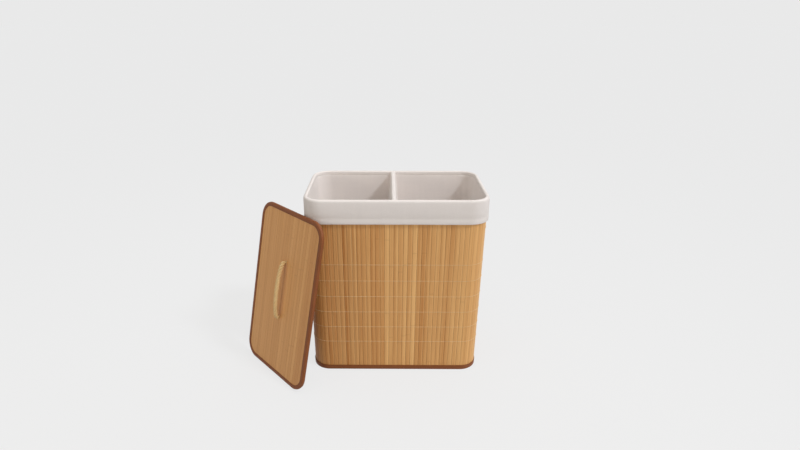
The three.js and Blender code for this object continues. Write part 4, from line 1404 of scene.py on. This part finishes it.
def add_lid_binding(sizes):
    """The binding round the lid's edge, with a row of stitches on either face."""
    top, lip, reach = LID_THICKNESS, LID_LIP, LID_LIP_REACH
    wrap, roll = 0.0012, 0.0052
    points = [
        (wrap, 0.004, 0), (wrap, top - lip, 0), (reach, top - lip, 0), (reach, top, 0.0008),
        (0.0004, top + 0.0002, roll), (0.0, top / 2, 0), (0.0004, -0.0001, roll), (reach, 0, 0.0008),
        (reach, lip, 0), (wrap, lip, 0),
    ]
    form = draw_band(points, LID_HALF, LID_CORNER, BINDING_RUN, BINDING_TURNS)
    seams = bmesh.new()
    for height in (top + 0.00005, 0.0):
        places = stitches_round(LID_HALF, LID_CORNER, reach - 0.0018, height, sizes.stitch, False)
        sew(seams, places, sizes.stitch, BINDING_THREAD)
    for part in (form, seams):
        bmesh.ops.translate(part, vec=(0, LID_HALF[1], 0), verts=part.verts)
        stand(part)
    finish_piece("lid_edge", form, "leatherette", "lid", ["lid_binding"], BINDING_FLATS)
    finish_piece("lid_edge_stitches", seams, "binding thread", "lid")


class HAMPER_OT_lid(bpy.types.Operator):
    """Model the lid: slats, binding and lining"""

    bl_idname = "hamper.lid"
    bl_label = "Lid"

    def execute(self, context):
        sizes = context.scene.hamper_sizes
        half = LID_HALF[0] - LID_INSET
        sides = (-half, half, LID_INSET, 2 * LID_HALF[1] - LID_INSET)
        add_lid_slats(sizes, half, sides)
        add_lid_binding(sizes)
        form = rounded_plate(sides, LID_CORNER - LID_INSET, *LID_LINING)
        cloth_uv(form)
        stand(form)
        finish_piece(
            "lid_lining_cloth", form, "lining cloth", "lid", ["lid_lining"], RIGID_FLATS
        )
        dress(["lid_board"], "fibreboard")
        return {"FINISHED"}


class HAMPER_OT_lid_handle(bpy.types.Operator):
    """Tie the lid's rope handle"""

    bl_idname = "hamper.lid_handle"
    bl_label = "Lid handle"

    def execute(self, context):
        lay = context.scene.hamper_sizes.rope_lay * 2 * LID_ROPE
        ends = [Vector((0, y, LID_PIVOT)) for y in LID_HOLES]
        form = bmesh.new()
        path, radii = arch_path(ends[0], ends[1], Vector((0, 0, LID_RISE)), LID_ROPE)
        draw_rope(form, path, radii, lay)
        stand(form)
        finish_piece("lid_rope", form, "jute rope", "lid_handle", ["lid_handle_rope"])
        for end, y in zip(("lower", "upper"), LID_HOLES):
            form = bmesh.new()
            draw_fixed_end(form, Vector((0, y, LID_FACE)), Vector((0, 0, -1)), LID_ROPE, LID_KNOT_START, lay)
            stand(form)
            finish_piece(f"lid_{end}_rope_end", form, "jute rope", "lid", [f"lid_{end}_knot"])
            dress([f"lid_{end}_washer"], "moulded plastic")
        return {"FINISHED"}


class HAMPER_OT_inner_parts(bpy.types.Operator):
    """Finish the board, stays, shoes and rim wire inside the hamper"""

    bl_idname = "hamper.inner_parts"
    bl_label = "Inner parts"

    def execute(self, context):
        dress(["base_board", *(f"{corner}_stay" for corner in CORNERS)], "fibreboard")
        dress([f"{corner}_stay_shoe" for corner in CORNERS], "moulded plastic")
        dress(["front_rim_wire", "back_rim_wire", "left_rim_ferrule", "right_rim_ferrule"], "drawn steel")
        return {"FINISHED"}


def background_rays(build):
    """1 for the rays that show the plain background: seen straight, mirrored or through something."""
    kinds = ("Is Camera Ray", "Is Glossy Ray", "Is Transmission Ray")
    straight, mirrored, through = (build.node("ShaderNodeLightPath", output=kind) for kind in kinds)
    return build.maths("MAXIMUM", straight, build.maths("MAXIMUM", mirrored, through))


def add_floor(pale):
    """A wide pale floor that glows for the camera, and keeps some of the shadow."""
    form = bmesh.new()
    bmesh.ops.create_grid(form, x_segments=1, y_segments=1, size=60.0)
    mesh = as_mesh("floor", form)
    floor = add_object("floor", mesh)
    material, build = new_finish("pale floor")
    seen = background_rays(build)
    lit_colour = build.blend(opaque((0.5, 0.5, 0.5)), opaque(pale), seen)
    lit = build.node("ShaderNodeBsdfDiffuse", {}, {"Color": lit_colour})
    glow = build.node("ShaderNodeEmission", {}, {"Color": opaque(pale), "Strength": FLOOR_GLOW})
    surface = build.node("ShaderNodeMixShader", {}, {0: seen * FLOOR_GLOW_SHARE, 1: lit, 2: glow})
    build.node("ShaderNodeOutputMaterial", {}, {"Surface": surface})
    mesh.materials.append(material)


def add_room(pale):
    """Soft light from all round, a little stronger from the right, before a plain background."""
    world = bpy.data.worlds.new("studio")
    world.use_nodes = True
    world.node_tree.nodes.clear()
    bpy.context.scene.world = world
    build = Socket(world.node_tree)
    right = build.node(
        "ShaderNodeVectorMath", {"operation": "DOT_PRODUCT"},
        {0: build.place("Generated"), 1: ROOM_SIDE}, output="Value",
    )
    strength = ROOM_LIGHT + right * ROOM_GAIN
    room = build.node("ShaderNodeBackground", {}, {"Color": ROOM_TINT, "Strength": strength})
    back = build.node("ShaderNodeBackground", {}, {"Color": opaque(pale), "Strength": BACK_GLOW})
    surface = build.node("ShaderNodeMixShader", {}, {0: background_rays(build), 1: room, 2: back})
    build.node("ShaderNodeOutputWorld", {}, {"Surface": surface})


def add_lamp(name, kind, power, tint, towards):
    """A lamp that shines against a direction."""
    lamp = bpy.data.lights.new(name, kind)
    lamp.energy = power
    lamp.color = tint
    holder = add_object(name, lamp)
    holder.rotation_mode = "QUATERNION"
    holder.rotation_quaternion = Vector(towards).to_track_quat("Z", "Y")
    return lamp, holder


def add_lamps():
    """A key light from the upper right, a softbox overhead and two weak fills."""
    lamp, _ = add_lamp("key", "SUN", 1.32, (0.95, 1.0, 1.07), (0.60, -0.32, 0.73))
    lamp.angle = math.radians(9)
    for name, size, power, tint, spot, aim in (
        ("softbox", 2.2, 18.0, (1.0, 1.0, 1.0), (0.1, 0.1, 2.6), (0.1, 0.1, 0.0)),
        ("right fill", 1.0, 4.0, (1.0, 1.0, 1.0), (1.2, -1.5, 0.9), (0.2, -0.1, 0.3)),
        ("left fill", 0.4, 6.4, (1.0, 0.93, 0.82), (-2.1, -1.6, 1.1), (-0.4, -0.2, 0.3)),
    ):
        lamp, holder = add_lamp(name, "AREA", power, tint, Vector(spot) - Vector(aim))
        lamp.size = size
        holder.location = spot


def add_camera():
    """The photograph's viewpoint."""
    lens = bpy.data.cameras.new("camera")
    lens.sensor_width = 36.0
    lens.lens = 24.5
    lens.shift_x = 0.0228
    lens.shift_y = 0.0295
    lens.clip_end = 200.0
    camera = add_object("camera", lens)
    camera.location = (-0.0346, -1.7794, 1.1595)
    camera.rotation_euler = (math.radians(90 - 23.33), 0, math.radians(0.42))
    bpy.context.scene.camera = camera


class HAMPER_OT_stage(bpy.types.Operator):
    """Set the floor, the light and the camera"""

    bl_idname = "hamper.stage"
    bl_label = "Stage"

    def execute(self, context):
        context.scene.view_settings.view_transform = "Standard"
        pale = context.scene.hamper_colours.floor
        add_floor(pale)
        add_room(pale)
        add_lamps()
        add_camera()
        return {"FINISHED"}


OPERATORS = (
    HAMPER_OT_slats,
    HAMPER_OT_threads,
    HAMPER_OT_backing,
    HAMPER_OT_bindings,
    HAMPER_OT_inner_parts,
    HAMPER_OT_cuff,
    HAMPER_OT_tapes,
    HAMPER_OT_bags,
    HAMPER_OT_divider,
    HAMPER_OT_side_handles,
    HAMPER_OT_lid,
    HAMPER_OT_lid_handle,
    HAMPER_OT_stage,
)


class HAMPER_PT_panel(bpy.types.Panel):
    """The hamper's pieces, sizes and colours in the sidebar"""

    bl_idname = "HAMPER_PT_panel"
    bl_label = "Hamper"
    bl_space_type = "VIEW_3D"
    bl_region_type = "UI"
    bl_category = "Hamper"

    def draw(self, context):
        for operator in OPERATORS:
            self.layout.operator(operator.bl_idname)
        for group in (context.scene.hamper_sizes, context.scene.hamper_colours):
            box = self.layout.box()
            for name in group.__annotations__:
                box.prop(group, name)


CLASSES = (HamperSizes, HamperColours, *OPERATORS, HAMPER_PT_panel)


def register():
    for cls in CLASSES:
        bpy.utils.register_class(cls)
    bpy.types.Scene.hamper_sizes = bpy.props.PointerProperty(type=HamperSizes)
    bpy.types.Scene.hamper_colours = bpy.props.PointerProperty(type=HamperColours)


def unregister():
    del bpy.types.Scene.hamper_colours
    del bpy.types.Scene.hamper_sizes
    for cls in reversed(CLASSES):
        bpy.utils.unregister_class(cls)


def main():
    register()
    bpy.ops.hamper.slats()
    bpy.ops.hamper.threads()
    bpy.ops.hamper.backing()
    bpy.ops.hamper.bindings()
    bpy.ops.hamper.inner_parts()
    bpy.ops.hamper.cuff()
    bpy.ops.hamper.tapes()
    bpy.ops.hamper.bags()
    bpy.ops.hamper.divider()
    bpy.ops.hamper.side_handles()
    bpy.ops.hamper.lid()
    bpy.ops.hamper.lid_handle()
    bpy.ops.hamper.stage()


if __name__ == "__main__":
    main()
